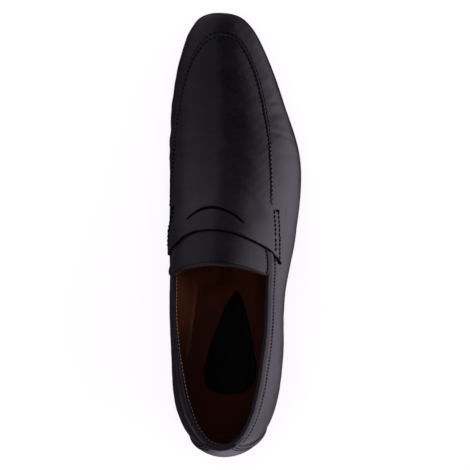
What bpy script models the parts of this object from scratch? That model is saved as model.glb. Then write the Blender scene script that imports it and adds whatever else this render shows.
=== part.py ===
# Slip-on loafer, right foot, standing empty on its heel and forefoot.
# All sizes below are millimetres: y runs from the back of the heel to the toe,
# x from the inner (medial, minus) to the outer (lateral, plus) side, z up from the floor.
import bmesh
import bpy
import numpy as np

MM = 0.001

# Driving sizes
FEATHER_BACK = 5.5  # where upper and sole meet at the back of the heel
FEATHER_TIP = 299.2  # and at the tip of the toe
CENTRE = (2.4, 149.3)  # middle of the finished shoe, which becomes the origin
GAP = 0.35  # clearance that the pieces keep
WALL = 2.0  # upper leather with its lining
OVERLAY = 1.3  # leather of the saddle and the back counter
TONGUE = 1.7
INSOLE = 2.4
INSOLE_CLEAR = 0.8  # from the upper's wall
PAD = 1.6
SOLE_MARGIN = 0.8  # the sole stands this far outside the feather edge
SOLE_ROUND = 2.2  # rounding of the sole's lower edge
HEEL_FLOOR = 19.8  # underside of the sole over the heel
LIFT = 6.0  # wearing layer under the heel
HEEL_INSET = 0.2  # how far the heel stands inside the sole's edge at the top
HEEL_TAPER = 1.4  # and at the floor
SEAM_HEIGHT = 1.0  # raised seam around the apron
SEAM_HALF = 1.7

# Sections of the last, from heel back to toe tip. share runs along the foot. medial and lateral are
# the feather edge, ridge_x, ridge_y and ridge_z the line over the top, bulge and rise the swing of
# the wall at the bottom, reach how far the top stays level before it turns down.
SECTION_COLUMNS = (
    "share", "medial", "lateral", "ridge_x", "ridge_y", "ridge_z",
    "bulge_medial", "bulge_lateral", "rise", "reach_medial", "reach_lateral",
)
SECTIONS = (
    (0.00, 0.5, 0.5, 7.0, 22.0, 101.0, 15.0, 15.0, 30, 0.66, 0.66),
    (0.05, -10.0, 11.5, 7.0, 23.0, 101.0, 14.0, 14.0, 30, 0.65, 0.65),
    (0.10, -19.0, 20.5, 7.0, 26.0, 101.0, 12.0, 12.0, 30, 0.64, 0.64),
    (0.20, -30.0, 31.0, 6.0, 40.0, 101.0, 12.2, 13.6, 30, 0.66, 0.56),
    (0.30, -29.5, 33.5, 3.0, 66.5, 100.0, 18.0, 21.3, 30, 0.72, 0.46),
    (0.40, -25.0, 34.5, 0.0, 107.0, 92.5, 27.0, 20.4, 29, 0.98, 0.52),
    (0.50, -34.0, 44.0, -1.0, 152.5, 75.5, 17.5, 11.5, 27, 0.80, 0.60),
    (0.60, -42.5, 46.5, -1.0, 197.5, 58.0, 2.5, 7.5, 23, 0.60, 0.60),
    (0.70, -40.0, 35.0, -1.5, 237.0, 48.0, 4.5, 5.5, 19, 0.62, 0.62),
    (0.80, -33.5, 23.5, -3.0, 262.0, 43.0, 4.0, 4.5, 15, 0.62, 0.62),
    (0.90, -24.0, 12.0, -4.5, 275.0, 40.0, 3.5, 3.5, 13, 0.62, 0.62),
    (0.95, -17.5, 5.0, -5.5, 278.0, 39.5, 3.5, 3.5, 13, 0.62, 0.62),
    (1.00, -6.5, -6.5, -6.0, 279.0, 39.3, 3.5, 3.5, 13, 0.62, 0.62),
)

# Underside of the sole: level over the heel, down the shank, flat tread, toe spring.
UNDERSIDE = {
    "y": (0, 45, 84, 100, 118, 136, 152, 165, 190, 214, 240, 262, 282, 302),
    "z": (HEEL_FLOOR, HEEL_FLOOR, HEEL_FLOOR, 16.6, 11.0, 5.6, 1.7, 0, 0, 0, 1.0, 3.1, 6.1, 9.6),
}
SOLE_THICKNESS = {"y": (0, 90, 125, 165, 215, 302), "z": (4.7, 4.7, 4.7, 5.6, 5.6, 5.4)}

# Height of the collar along the foot. It ends where the throat closes under the saddle.
TOPLINE = {
    "y": (0, 8, 20, 35, 50, 66, 91, 109, 125, 138, 150, 161),
    "z": (86.5, 86, 84, 81, 78, 75, 69, 64.5, 61, 60.5, 66, 74),
}

# Apron seam: share along the foot, then share up the section on either side.
APRON = {
    "share": (0.00, 0.40, 0.53, 0.57, 0.60, 0.64, 0.69, 0.74, 0.79, 0.83, 0.865, 0.90, 0.95, 0.98, 1.00),
    "medial": (
        0.30, 0.30, 0.35, 0.345, 0.37, 0.395, 0.468, 0.52, 0.588, 0.665, 0.735, 0.80, 0.873, 0.888, 0.886,
    ),
    "lateral": (
        0.30, 0.34, 0.562, 0.574, 0.58, 0.564, 0.55, 0.546, 0.567, 0.611, 0.662, 0.742, 0.842, 0.875, 0.886,
    ),
}
APRON_START = 170.0  # the raised seam fades in from here to the toe
APRON_FADE = 9.0

# Saddle: across runs from the medial end (-1) over the ridge (0) to the lateral end (1).
SADDLE = {
    "across": (-1.0, -0.75, -0.5, -0.25, 0.0, 0.25, 0.5, 0.75, 1.0),
    "front": (166, 168, 173, 178, 181, 178.5, 174, 169, 166),
    "rear": (136.0, 140.8, 147.0, 150.3, 150.7, 148.6, 144.0, 138.4, 129.6),
}
SADDLE_END = 0.40  # share up the section where its ends stop
SADDLE_EDGE = 0.5  # thickness that its thinned front edge keeps
SADDLE_SKIVE = 0.45  # the share of its depth that is thinned
SLOT = {"x": (-21.8, -3.0, 15.8), "y": (157.5, 166.1, 155.7), "width": 1.6}

TONGUE_FRONT = 156.5
TONGUE_REAR = (128.5, 122.5)  # at the middle and at the sides
TONGUE_CORNER = 0.045  # share up the section that its rounded rear corners take off
TONGUE_ROUND = 0.12  # and the share of its length
TONGUE_CLEAR = 0.8  # from the edges of the collar and throat

# Back counter: half its width along the foot's share, from the sole up to the collar.
COUNTER = {"height": (0.0, 0.4, 0.6, 0.8, 1.0), "share": (0.135, 0.106, 0.088, 0.074, 0.066)}
COUNTER_FOOT = 0.02  # share up the section where it starts, just above the sole

# Heel, seen from below
BREAST = (81.0, 75.5)  # where the heel's front face meets the medial and the lateral side
BREAST_HOLLOW = 2.0
TIP_LINE = (28.0, 34.5)  # joint between the front lift and the rear tip
PAD_ENDS = (38.2, 109.0)
PAD_MIDDLE = (0.3, 5.4)  # sideways place of the pad's wide end and of its point
PAD_HALF = 17.8
PAD_WIDEST = 0.265  # share of its length from the round end
PAD_POINT = 0.68  # below 1 its point is blunt
PAD_FLANK = 1.15  # 1 draws its sides straight, more bows them out

# Mesh density
AROUND = 42
SOLE_STATIONS = 44
THROAT_FROM = 139.0  # the upper's rows stand closer from here to the end of the throat
THROAT_STATIONS = 9
BELOW_SEAM = np.array([0, 0.13, 0.3, 0.48, 0.66, 0.83])  # rows from the sole up to the apron seam
ABOVE_SEAM = np.array([0.17, 0.36, 0.56, 0.78, 1.0])  # and from there up to the collar
SHARP_ANGLE = np.radians(40)

COLOURS = {
    "black_leather": ((0.012, 0.011, 0.014, 1.0), 0.38),
    "sole_rubber": ((0.016, 0.015, 0.018, 1.0), 0.55),
    "lift_rubber": ((0.013, 0.012, 0.014, 1.0), 0.65),
    "tan_leather": ((0.120, 0.058, 0.036, 1.0), 0.55),
    "pad_leather": ((0.015, 0.013, 0.015, 1.0), 0.5),
}


# Form of the last

def spline(xs, ys, at, level=False):
    # Cubic through the rows. With level, a flat run stays flat and nothing overshoots.
    xs = np.asarray(xs, float)
    ys = np.asarray(ys, float)
    at = np.clip(at, xs[0], xs[-1])
    step = np.diff(xs)
    slope = np.diff(ys) / step
    tangent = np.empty_like(ys)
    tangent[1:-1] = (slope[:-1] * step[1:] + slope[1:] * step[:-1]) / (step[:-1] + step[1:])
    if level:
        steep = 2 * np.minimum(abs(slope[:-1]), abs(slope[1:]))
        tangent[1:-1] = np.clip(tangent[1:-1], -steep, steep) * (slope[:-1] * slope[1:] > 0)
    tangent[0] = 0 if level else 2 * slope[0] - tangent[1]
    tangent[-1] = 2 * slope[-1] - tangent[-2]
    k = np.clip(np.searchsorted(xs, at, side="right") - 1, 0, len(step) - 1)
    t = (at - xs[k]) / step[k]
    return (
        (1 + 2 * t) * (1 - t) ** 2 * ys[k]
        + t * (1 - t) ** 2 * step[k] * tangent[k]
        + t * t * (3 - 2 * t) * ys[k + 1]
        + t * t * (t - 1) * step[k] * tangent[k + 1]
    )


ROWS = np.array(SECTIONS)
COLUMN = {name: ROWS[:, i] for i, name in enumerate(SECTION_COLUMNS)}
RIDGE_SLOPE = np.gradient(COLUMN["ridge_z"], COLUMN["ridge_y"])


def column(name, share):
    return spline(COLUMN["share"], COLUMN[name], share)


def sided(name, share, side):
    return np.where(side < 0, column(name + "_medial", share), column(name + "_lateral", share))


def underside(y):
    return spline(UNDERSIDE["y"], UNDERSIDE["z"], y, level=True)


def sole_top(y):
    return underside(y) + np.interp(y, SOLE_THICKNESS["y"], SOLE_THICKNESS["z"])


def feather_y(share):
    return FEATHER_BACK + (FEATHER_TIP - FEATHER_BACK) * (1 - np.cos(np.pi * share)) / 2


def share_at(y):
    part = np.clip((np.asarray(y, float) - FEATHER_BACK) / (FEATHER_TIP - FEATHER_BACK), 0, 1)
    return np.arccos(1 - 2 * part) / np.pi


def feather_xy(share, side):
    x = np.where(side < 0, column("medial", share), column("lateral", share))
    return np.stack([x, feather_y(share)], -1)


def outward(share, side, step=1e-4):
    # Sideways direction of the feather edge in plan, pointing off the shoe.
    run = feather_xy(np.clip(share + step, 0, 1), side) - feather_xy(np.clip(share - step, 0, 1), side)
    across = np.stack([run[..., 1], -run[..., 0]], -1) * side[..., None]
    return across / np.linalg.norm(across, axis=-1, keepdims=True)


def last_point(share, side, up):
    # Each section is a cubic Bezier from the feather edge (up 0) to the ridge (up 1).
    share, side, up = np.broadcast_arrays(*(np.asarray(v, float) for v in (share, side, up)))
    plan = feather_xy(share, side)
    foot = np.concatenate([plan, (sole_top(plan[..., 1]) + GAP)[..., None]], -1)
    ridge = np.stack([column("ridge_x", share), column("ridge_y", share), column("ridge_z", share)], -1)
    swing = outward(share, side) * sided("bulge", share, side)[..., None]
    low = foot + np.concatenate([swing, column("rise", share)[..., None]], -1)
    span = (plan - ridge[..., :2]) * sided("reach", share, side)[..., None]
    fall = spline(COLUMN["share"], RIDGE_SLOPE, share) * span[..., 1]
    high = ridge + np.concatenate([span, fall[..., None]], -1)
    t = up[..., None]
    return (1 - t) ** 3 * foot + 3 * t * (1 - t) ** 2 * low + 3 * t * t * (1 - t) * high + t**3 * ridge


def last_normal(share, side, up, step=2e-3):
    share, side, up = np.broadcast_arrays(*(np.asarray(v, float) for v in (share, side, up)))
    ahead, behind = np.clip(share + step, 0, 1), np.clip(share - step, 0, 1)
    over, under = np.clip(up + step, 0, 1), np.clip(up - step, 0, 1)
    along = last_point(ahead, side, up) - last_point(behind, side, up)
    rising = last_point(share, side, over) - last_point(share, side, under)
    normal = np.cross(rising, along) * -side[..., None]
    return normal / np.linalg.norm(normal, axis=-1, keepdims=True)


def off_last(share, side, up, distance):
    return last_point(share, side, up) + last_normal(share, side, up) * np.asarray(distance, float)[..., None]


def up_per_mm(share, side, up, step=0.005):
    # How much share up a section one millimetre along it takes.
    run = last_point(share, side, up + step) - last_point(share, side, up - step)
    return 2 * step / np.linalg.norm(run, axis=-1)


def topline_up(share, side):
    # Share up each section where it reaches the collar, and 1 in front of the throat.
    low = np.zeros_like(share)
    high = np.ones_like(share)
    for _ in range(40):
        middle = (low + high) / 2
        point = last_point(share, side, middle)
        below = point[..., 2] < spline(TOPLINE["y"], TOPLINE["z"], point[..., 1])
        below |= point[..., 1] >= TOPLINE["y"][-1]
        low = np.where(below, middle, low)
        high = np.where(below, high, middle)
    return high


def apron_up(share, side):
    return np.where(
        side < 0,
        spline(APRON["share"], APRON["medial"], share, level=True),
        spline(APRON["share"], APRON["lateral"], share, level=True),
    )


# Blender helpers

def clear_scene():
    for item in list(bpy.data.objects):
        bpy.data.objects.remove(item, do_unlink=True)


def new_collection(name):
    made = bpy.data.collections.new(name)
    bpy.context.scene.collection.children.link(made)
    return made


def new_material(name):
    colour, roughness = COLOURS[name]
    made = bpy.data.materials.new(name)
    made.use_nodes = True
    shader = made.node_tree.nodes["Principled BSDF"]
    shader.inputs["Base Color"].default_value = colour
    shader.inputs["Roughness"].default_value = roughness
    shader.inputs["Metallic"].default_value = 0.0
    made.diffuse_color = colour
    return made


def quads(columns, rows, wrap=False):
    last = columns if wrap else columns - 1
    return [
        (i * rows + j, i * rows + j + 1, (i + 1) % columns * rows + j + 1, (i + 1) % columns * rows + j)
        for i in range(last)
        for j in range(rows - 1)
    ]


def new_object(name, points, faces, material, collection, parent):
    mesh = bpy.data.meshes.new(name)
    mesh.from_pydata((np.asarray(points).reshape(-1, 3) * MM).tolist(), [], faces)
    bm = bmesh.new()
    bm.from_mesh(mesh)
    bmesh.ops.remove_doubles(bm, verts=bm.verts, dist=2e-5)
    bmesh.ops.dissolve_degenerate(bm, edges=bm.edges, dist=1e-7)
    bm.to_mesh(mesh)
    bm.free()
    mesh.shade_smooth()
    mesh.set_sharp_from_angle(angle=SHARP_ANGLE)
    mesh.materials.append(material)
    made = bpy.data.objects.new(name, mesh)
    made.parent = parent
    collection.objects.link(made)
    return made


def face_out(item):
    bm = bmesh.new()
    bm.from_mesh(item.data)
    bmesh.ops.recalc_face_normals(bm, faces=bm.faces)
    bm.to_mesh(item.data)
    bm.free()


def solid_between(name, inner, outer, *place):
    # Closed solid between two grids of one shape, joined around their rim.
    columns, rows = outer.shape[:2]
    count = columns * rows
    shell = quads(columns, rows)
    faces = shell + [tuple(count + k for k in reversed(face)) for face in shell]
    rim = [i * rows for i in range(columns)]
    rim += [(columns - 1) * rows + j for j in range(1, rows)]
    rim += [i * rows + rows - 1 for i in reversed(range(columns - 1))]
    rim += list(reversed(range(1, rows - 1)))
    for a, b in zip(rim, rim[1:] + rim[:1]):
        faces.append((a, b, count + b, count + a))
    made = new_object(name, np.concatenate([outer.reshape(-1, 3), inner.reshape(-1, 3)]), faces, *place)
    face_out(made)
    return made


def loft(name, sections, *place):
    # Closed sections joined in order, whose first and last are drawn to a line.
    columns, rows = sections.shape[:2]
    ring = np.concatenate([sections, sections[:, :1]], 1)
    made = new_object(name, ring, quads(columns, rows + 1), *place)
    face_out(made)
    return made


def prism(name, low, high, *place):
    # Straight loft between two flat outlines with the same number of points.
    count = len(low)
    faces = [tuple(range(count)), tuple(range(2 * count - 1, count - 1, -1))]
    for i in range(count):
        k = (i + 1) % count
        faces.append((i, k, count + k, count + i))
    made = new_object(name, np.concatenate([low, high]), faces, *place)
    face_out(made)
    return made


# Sub-parts

def upper_stations():
    throat = np.interp(TOPLINE["y"][-1], COLUMN["ridge_y"], COLUMN["share"])
    near_throat = np.linspace(share_at(THROAT_FROM), throat, THROAT_STATIONS)
    even = np.linspace(0, 1, AROUND + 1)
    clear = 0.4 / AROUND
    kept = [s for s in even if s < near_throat[0] - clear or s > near_throat[-1] + clear]
    return np.sort(np.concatenate([kept, near_throat]))


def upper_half(stations, side):
    # Rows follow the feather edge, the apron seam with its raised crest, and the collar.
    sides = np.full(len(stations), float(side))
    seam = apron_up(stations, sides)
    top = topline_up(stations, sides)
    half = SEAM_HALF * up_per_mm(stations, sides, seam)
    base = seam - half
    shoulder = seam + half
    ups = [base * part for part in BELOW_SEAM] + [base, seam, shoulder]
    ups += [shoulder + (top - shoulder) * part for part in ABOVE_SEAM]
    grid = last_point(stations[:, None], float(side), np.stack(ups, -1))
    grown = np.clip((feather_y(stations) - APRON_START) / APRON_FADE, 0, 1)
    crest = len(BELOW_SEAM) + 1
    grid[:, crest] = off_last(stations, sides, seam, SEAM_HEIGHT * grown)
    return grid


def add_upper(*place):
    stations = upper_stations()
    medial = upper_half(stations, -1)
    lateral = upper_half(stations, 1)
    grid = np.concatenate([medial, lateral[-2:0:-1]], 0)
    made = new_object("upper", grid, quads(*grid.shape[:2], wrap=True), *place)
    wall = made.modifiers.new("wall", "SOLIDIFY")
    wall.thickness = WALL * MM
    wall.offset = -1
    wall.use_even_offset = True
    return made


def add_tongue(*place):
    across = np.linspace(-1, 1, 27)
    back = np.linspace(0, 1, 13)
    front = share_at(TONGUE_FRONT)
    rear = share_at(TONGUE_REAR[0] + (TONGUE_REAR[1] - TONGUE_REAR[0]) * abs(across) ** 2)
    share = front + back[None, :] * (rear[:, None] - front)
    side = np.where(across < 0, -1.0, 1.0)[:, None] * np.ones_like(share)
    edge = topline_up(share, side)
    corner = TONGUE_CORNER * (1 - np.sqrt(1 - np.clip((back - 1) / TONGUE_ROUND + 1, 0, 1) ** 2))
    edge = edge + TONGUE_CLEAR * up_per_mm(share, side, edge) + corner[None, :]
    up = edge + (1 - edge) * (1 - abs(across))[:, None]
    outer = last_point(share, side, up)
    inner = off_last(share, side, up, np.full(share.shape, -TONGUE))
    return solid_between("tongue", inner, outer, *place)


def add_saddle(cutters, *place):
    across = np.linspace(-1, 1, 33)
    depth = np.linspace(0, 1, 10)
    front = spline(SADDLE["across"], SADDLE["front"], across)
    rear = spline(SADDLE["across"], SADDLE["rear"], across)
    share = share_at(front[:, None] + depth[None, :] * (rear - front)[:, None])
    side = np.where(across < 0, -1.0, 1.0)[:, None] * np.ones_like(share)
    up = np.repeat((1 - (1 - SADDLE_END) * abs(across))[:, None], len(depth), 1)
    thick = SADDLE_EDGE + (OVERLAY - SADDLE_EDGE) * np.clip(depth / SADDLE_SKIVE, 0, 1)
    inner = off_last(share, side, up, np.full(share.shape, GAP))
    outer = off_last(share, side, up, GAP + thick[None, :] * np.ones_like(share))
    made = solid_between("saddle", inner, outer, *place)
    slot = made.modifiers.new("slot", "BOOLEAN")
    slot.operation = "DIFFERENCE"
    slot.solver = "EXACT"
    slot.object = slot_cutter(cutters, *place)
    return made


def slot_cutter(cutters, material, collection, parent):
    # Crescent slit over an arc, drawn to points at both ends.
    t = np.linspace(0, 1, 17)
    x = SLOT["x"][0] + (SLOT["x"][2] - SLOT["x"][0]) * t
    rise = SLOT["y"][1] - (SLOT["y"][0] + SLOT["y"][2]) / 2
    y = SLOT["y"][0] + (SLOT["y"][2] - SLOT["y"][0]) * t + rise * (1 - (2 * t - 1) ** 2)
    half = SLOT["width"] / 2 * np.sqrt(np.clip(1 - (2 * t - 1) ** 8, 0.05, 1))
    outline = np.concatenate([np.stack([x, y + half], -1), np.stack([x, y - half], -1)[::-1]])
    low = np.column_stack([outline, np.full(len(outline), 50.0)])
    high = np.column_stack([outline, np.full(len(outline), 90.0)])
    made = prism("slot_cutter", low, high, material, cutters, parent)
    made.hide_render = True
    made.display_type = "WIRE"
    return made


def add_counter(*place):
    across = np.linspace(-1, 1, 21)
    height = np.linspace(0, 1, 12)
    share = abs(across)[:, None] * spline(COUNTER["height"], COUNTER["share"], height)[None, :]
    side = np.where(across < 0, -1.0, 1.0)[:, None] * np.ones_like(share)
    up = COUNTER_FOOT + (topline_up(share, side) - COUNTER_FOOT) * height[None, :]
    inner = off_last(share, side, up, np.full(share.shape, GAP))
    outer = off_last(share, side, up, np.full(share.shape, GAP + OVERLAY))
    return solid_between("back_counter", inner, outer, *place)


def plan_edge(share, side, margin):
    sides = np.full(len(share), float(side))
    return feather_xy(share, sides) + outward(share, sides) * margin


def add_outsole(*place):
    share = np.linspace(0, 1, SOLE_STATIONS)
    medial = plan_edge(share, -1, SOLE_MARGIN)
    lateral = plan_edge(share, 1, SOLE_MARGIN)
    width = np.linalg.norm(lateral - medial, axis=1)
    inset = SOLE_ROUND / np.maximum(width, 2.5 * SOLE_ROUND)
    corner = inset * (1 - np.sin(np.pi / 4))
    corner_rise = SOLE_ROUND * (1 - np.sin(np.pi / 4))
    zero = np.zeros_like(share)
    section = []

    def add(part, z):
        plan = medial + (lateral - medial) * part[:, None]
        section.append(np.column_stack([plan, z(plan[:, 1])]))

    for part in (0, 0.25, 0.5, 0.75, 1):
        add(zero + part, sole_top)
    add(zero + 1, lambda y: underside(y) + SOLE_ROUND)
    add(1 - corner, lambda y: underside(y) + corner_rise)
    for part in (1 - inset, zero + 0.72, zero + 0.5, zero + 0.28, inset):
        add(part, underside)
    add(corner, lambda y: underside(y) + corner_rise)
    add(zero, lambda y: underside(y) + SOLE_ROUND)
    return loft("outsole", np.stack(section, 1), *place)


def heel_outline(front, inset):
    # Horseshoe of the sole's edge behind the line that front gives at both sides.
    last = [share_at(front[0]), share_at(front[1])]
    medial = plan_edge(np.linspace(last[0], 0, 17), -1, SOLE_MARGIN - inset)
    lateral = plan_edge(np.linspace(0, last[1], 17), 1, SOLE_MARGIN - inset)
    return np.concatenate([medial, lateral[1:]])


def hollow_line(start, end, depth, count=7):
    t = np.linspace(0, 1, count)[1:-1, None]
    bow = np.zeros((count - 2, 2))
    bow[:, 1] = -depth * 4 * (t * (1 - t))[:, 0]
    return start + (end - start) * t + bow


def at_height(outline, z):
    return np.column_stack([outline, np.full(len(outline), float(z))])


def block_outline(inset):
    edge = heel_outline(BREAST, inset)
    return np.concatenate([edge, hollow_line(edge[-1], edge[0], BREAST_HOLLOW)])


def add_heel(block_material, lift_material, *place):
    # The block sits under the sole, and the two wearing pieces side by side under the block.
    waist = (HEEL_INSET + HEEL_TAPER) / 2
    low = at_height(block_outline(waist), LIFT + GAP)
    high = at_height(block_outline(HEEL_INSET), HEEL_FLOOR - GAP)
    prism("heel_block", low, high, block_material, *place)
    for name, outline in (("heel_tip", tip_outline), ("heel_lift", front_lift_outline)):
        prism(name, at_height(outline(HEEL_TAPER), 0), at_height(outline(waist), LIFT), lift_material, *place)


def tip_outline(inset):
    return heel_outline(TIP_LINE, inset)


def front_lift_outline(inset):
    breast = [share_at(y) for y in BREAST]
    joint = [share_at(y + GAP) for y in TIP_LINE]
    medial = plan_edge(np.linspace(breast[0], joint[0], 9), -1, SOLE_MARGIN - inset)
    lateral = plan_edge(np.linspace(joint[1], breast[1], 9), 1, SOLE_MARGIN - inset)
    return np.concatenate([medial, lateral, hollow_line(lateral[-1], medial[0], BREAST_HOLLOW)])


def add_insole(*place):
    share = np.linspace(0, 1, SOLE_STATIONS)
    inset = WALL + INSOLE_CLEAR
    medial = plan_edge(share, -1, -inset)
    lateral = plan_edge(share, 1, -inset)
    part = np.linspace(0, 1, 5)
    plan = medial[:, None] + (lateral - medial)[:, None] * part[None, :, None]
    low = sole_top(plan[..., 1]) + GAP
    inner = np.concatenate([plan, low[..., None]], -1)
    outer = np.concatenate([plan, (low + INSOLE)[..., None]], -1)
    return solid_between("insole", inner, outer, *place)


def add_heel_pad(*place):
    # Teardrop: a round end towards the heel that draws to a point towards the toe.
    t = (1 - np.cos(np.pi * np.linspace(0, 1, 25))) / 2
    y = PAD_ENDS[0] + (PAD_ENDS[1] - PAD_ENDS[0]) * t
    behind = np.clip((PAD_WIDEST - t) / PAD_WIDEST, 0, 1)
    ahead = np.clip((t - PAD_WIDEST) / (1 - PAD_WIDEST), 0, 1)
    half = PAD_HALF * np.sqrt(1 - behind**4) * (1 - ahead**PAD_FLANK) ** PAD_POINT
    middle = PAD_MIDDLE[0] + (PAD_MIDDLE[1] - PAD_MIDDLE[0]) * t
    part = np.linspace(-1, 1, 7)
    x = middle[:, None] + half[:, None] * part[None, :]
    low = sole_top(y)[:, None] + 2 * GAP + INSOLE + np.zeros_like(x)
    dome = 0.5 + 0.5 * (1 - part**2)[None, :] * (half / half.max())[:, None]
    spread = np.repeat(y[:, None], len(part), 1)
    inner = np.stack([x, spread, low], -1)
    outer = np.stack([x, spread, low + PAD * dome], -1)
    return solid_between("heel_pad", inner, outer, *place)


def main():
    clear_scene()
    parts = new_collection("slip_on_shoe")
    cutters = new_collection("cutters")
    root = bpy.data.objects.new("shoe", None)
    root.location = (-CENTRE[0] * MM, -CENTRE[1] * MM, 0)
    parts.objects.link(root)
    made = {name: new_material(name) for name in COLOURS}
    place = (parts, root)
    add_outsole(made["sole_rubber"], *place)
    add_heel(made["sole_rubber"], made["lift_rubber"], *place)
    add_upper(made["black_leather"], *place)
    add_insole(made["tan_leather"], *place)
    add_heel_pad(made["pad_leather"], *place)
    add_tongue(made["black_leather"], *place)
    add_saddle(cutters, made["black_leather"], *place)
    add_counter(made["black_leather"], *place)


main()
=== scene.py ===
# Black leather slip-on, right shoe: leather, stitches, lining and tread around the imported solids.
# Sizes are shoe millimetres: y from the back of the heel to the toe, x from the inner (minus)
# to the outer (plus) side, z up from the floor.
import math

import bmesh
import bpy
import numpy as np
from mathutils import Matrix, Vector


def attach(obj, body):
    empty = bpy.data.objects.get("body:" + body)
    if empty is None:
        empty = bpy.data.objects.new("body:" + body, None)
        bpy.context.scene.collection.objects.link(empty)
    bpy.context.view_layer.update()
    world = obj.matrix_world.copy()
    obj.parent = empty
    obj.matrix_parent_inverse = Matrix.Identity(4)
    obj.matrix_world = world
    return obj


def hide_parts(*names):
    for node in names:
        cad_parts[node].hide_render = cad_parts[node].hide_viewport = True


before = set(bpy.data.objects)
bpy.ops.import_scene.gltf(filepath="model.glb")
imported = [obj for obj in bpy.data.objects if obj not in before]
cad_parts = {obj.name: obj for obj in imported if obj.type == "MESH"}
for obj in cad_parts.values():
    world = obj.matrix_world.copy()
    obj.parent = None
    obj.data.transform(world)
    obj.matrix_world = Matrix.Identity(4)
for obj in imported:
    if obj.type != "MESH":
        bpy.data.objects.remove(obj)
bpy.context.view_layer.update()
print("frame loaded with", len(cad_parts), "solids")

mm = 0.001

# The last: sections from heel back to toe tip, the same rows that the solids are made from
lastForm = {
    "featherBack": 5.5,  # where upper and sole meet at the back
    "featherTip": 299.2,
    "centre": (2.4, 149.3, 0.0),  # middle of the shoe, which is the frame's origin
    "gap": 0.35,
    "columns": (
        "share", "medial", "lateral", "ridgeX", "ridgeY", "ridgeZ",
        "bulgeMedial", "bulgeLateral", "rise", "reachMedial", "reachLateral",
    ),
    "sections": (
        (0.00, 0.5, 0.5, 7.0, 22.0, 101.0, 15.0, 15.0, 30, 0.66, 0.66),
        (0.05, -10.0, 11.5, 7.0, 23.0, 101.0, 14.0, 14.0, 30, 0.65, 0.65),
        (0.10, -19.0, 20.5, 7.0, 26.0, 101.0, 12.0, 12.0, 30, 0.64, 0.64),
        (0.20, -30.0, 31.0, 6.0, 40.0, 101.0, 12.2, 13.6, 30, 0.66, 0.56),
        (0.30, -29.5, 33.5, 3.0, 66.5, 100.0, 18.0, 21.3, 30, 0.72, 0.46),
        (0.40, -25.0, 34.5, 0.0, 107.0, 92.5, 27.0, 20.4, 29, 0.98, 0.52),
        (0.50, -34.0, 44.0, -1.0, 152.5, 75.5, 17.5, 11.5, 27, 0.80, 0.60),
        (0.60, -42.5, 46.5, -1.0, 197.5, 58.0, 2.5, 7.5, 23, 0.60, 0.60),
        (0.70, -40.0, 35.0, -1.5, 237.0, 48.0, 4.5, 5.5, 19, 0.62, 0.62),
        (0.80, -33.5, 23.5, -3.0, 262.0, 43.0, 4.0, 4.5, 15, 0.62, 0.62),
        (0.90, -24.0, 12.0, -4.5, 275.0, 40.0, 3.5, 3.5, 13, 0.62, 0.62),
        (0.95, -17.5, 5.0, -5.5, 278.0, 39.5, 3.5, 3.5, 13, 0.62, 0.62),
        (1.00, -6.5, -6.5, -6.0, 279.0, 39.3, 3.5, 3.5, 13, 0.62, 0.62),
    ),
    "undersideY": (0, 45, 84, 100, 118, 136, 152, 165, 190, 214, 240, 262, 282, 302),
    "undersideZ": (19.8, 19.8, 19.8, 16.6, 11.0, 5.6, 1.7, 0, 0, 0, 1.0, 3.1, 6.1, 9.6),
    "soleY": (0, 90, 125, 165, 215, 302),
    "soleThick": (4.7, 4.7, 4.7, 5.6, 5.6, 5.4),
    "collarY": (0, 8, 20, 35, 50, 66, 91, 109, 125, 138, 150, 161),
    "collarZ": (86.5, 86, 84, 81, 78, 75, 69, 64.5, 61, 60.5, 66, 74),
    "apronShare": (
        0.00, 0.40, 0.53, 0.57, 0.60, 0.64, 0.69, 0.74, 0.79, 0.83, 0.865, 0.90, 0.95, 0.98, 1.00,
    ),
    "apronMedial": (
        0.30, 0.30, 0.35, 0.345, 0.37, 0.395, 0.468, 0.52, 0.588, 0.665, 0.735, 0.80, 0.873, 0.888, 0.886,
    ),
    "apronLateral": (
        0.30, 0.34, 0.562, 0.574, 0.58, 0.564, 0.55, 0.546, 0.567, 0.611, 0.662, 0.742, 0.842, 0.875, 0.886,
    ),
}


def spline(xs, ys, at, level=False):
    # cubic through the rows; with level a flat run stays flat and nothing overshoots
    xs = np.asarray(xs, float)
    ys = np.asarray(ys, float)
    at = np.clip(at, xs[0], xs[-1])
    step = np.diff(xs)
    slope = np.diff(ys) / step
    tangent = np.empty_like(ys)
    tangent[1:-1] = (slope[:-1] * step[1:] + slope[1:] * step[:-1]) / (step[:-1] + step[1:])
    if level:
        steep = 2 * np.minimum(abs(slope[:-1]), abs(slope[1:]))
        tangent[1:-1] = np.clip(tangent[1:-1], -steep, steep) * (slope[:-1] * slope[1:] > 0)
    tangent[0] = 0 if level else 2 * slope[0] - tangent[1]
    tangent[-1] = 2 * slope[-1] - tangent[-2]
    k = np.clip(np.searchsorted(xs, at, side="right") - 1, 0, len(step) - 1)
    t = (at - xs[k]) / step[k]
    return (
        (1 + 2 * t) * (1 - t) ** 2 * ys[k]
        + t * (1 - t) ** 2 * step[k] * tangent[k]
        + t * t * (3 - 2 * t) * ys[k + 1]
        + t * t * (t - 1) * step[k] * tangent[k + 1]
    )


sectionRows = np.array(lastForm["sections"])
sectionColumn = {name: sectionRows[:, i] for i, name in enumerate(lastForm["columns"])}
ridgeSlope = np.gradient(sectionColumn["ridgeZ"], sectionColumn["ridgeY"])
featherSpan = lastForm["featherTip"] - lastForm["featherBack"]


def size(vector):
    # length of each vector
    return np.linalg.norm(vector, axis=-1)


def unit(vector):
    # each vector over its length
    return vector / np.linalg.norm(vector, axis=-1, keepdims=True)


def together(*values):
    # numbers and arrays brought to one shape
    return np.broadcast_arrays(*(np.asarray(v, float) for v in values))


def crowded(count, start=-1):
    # sine of even steps, so that the rows crowd at both ends, or with start 0 at the last only
    return np.sin(np.linspace(start, 1, count) * np.pi / 2)


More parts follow.
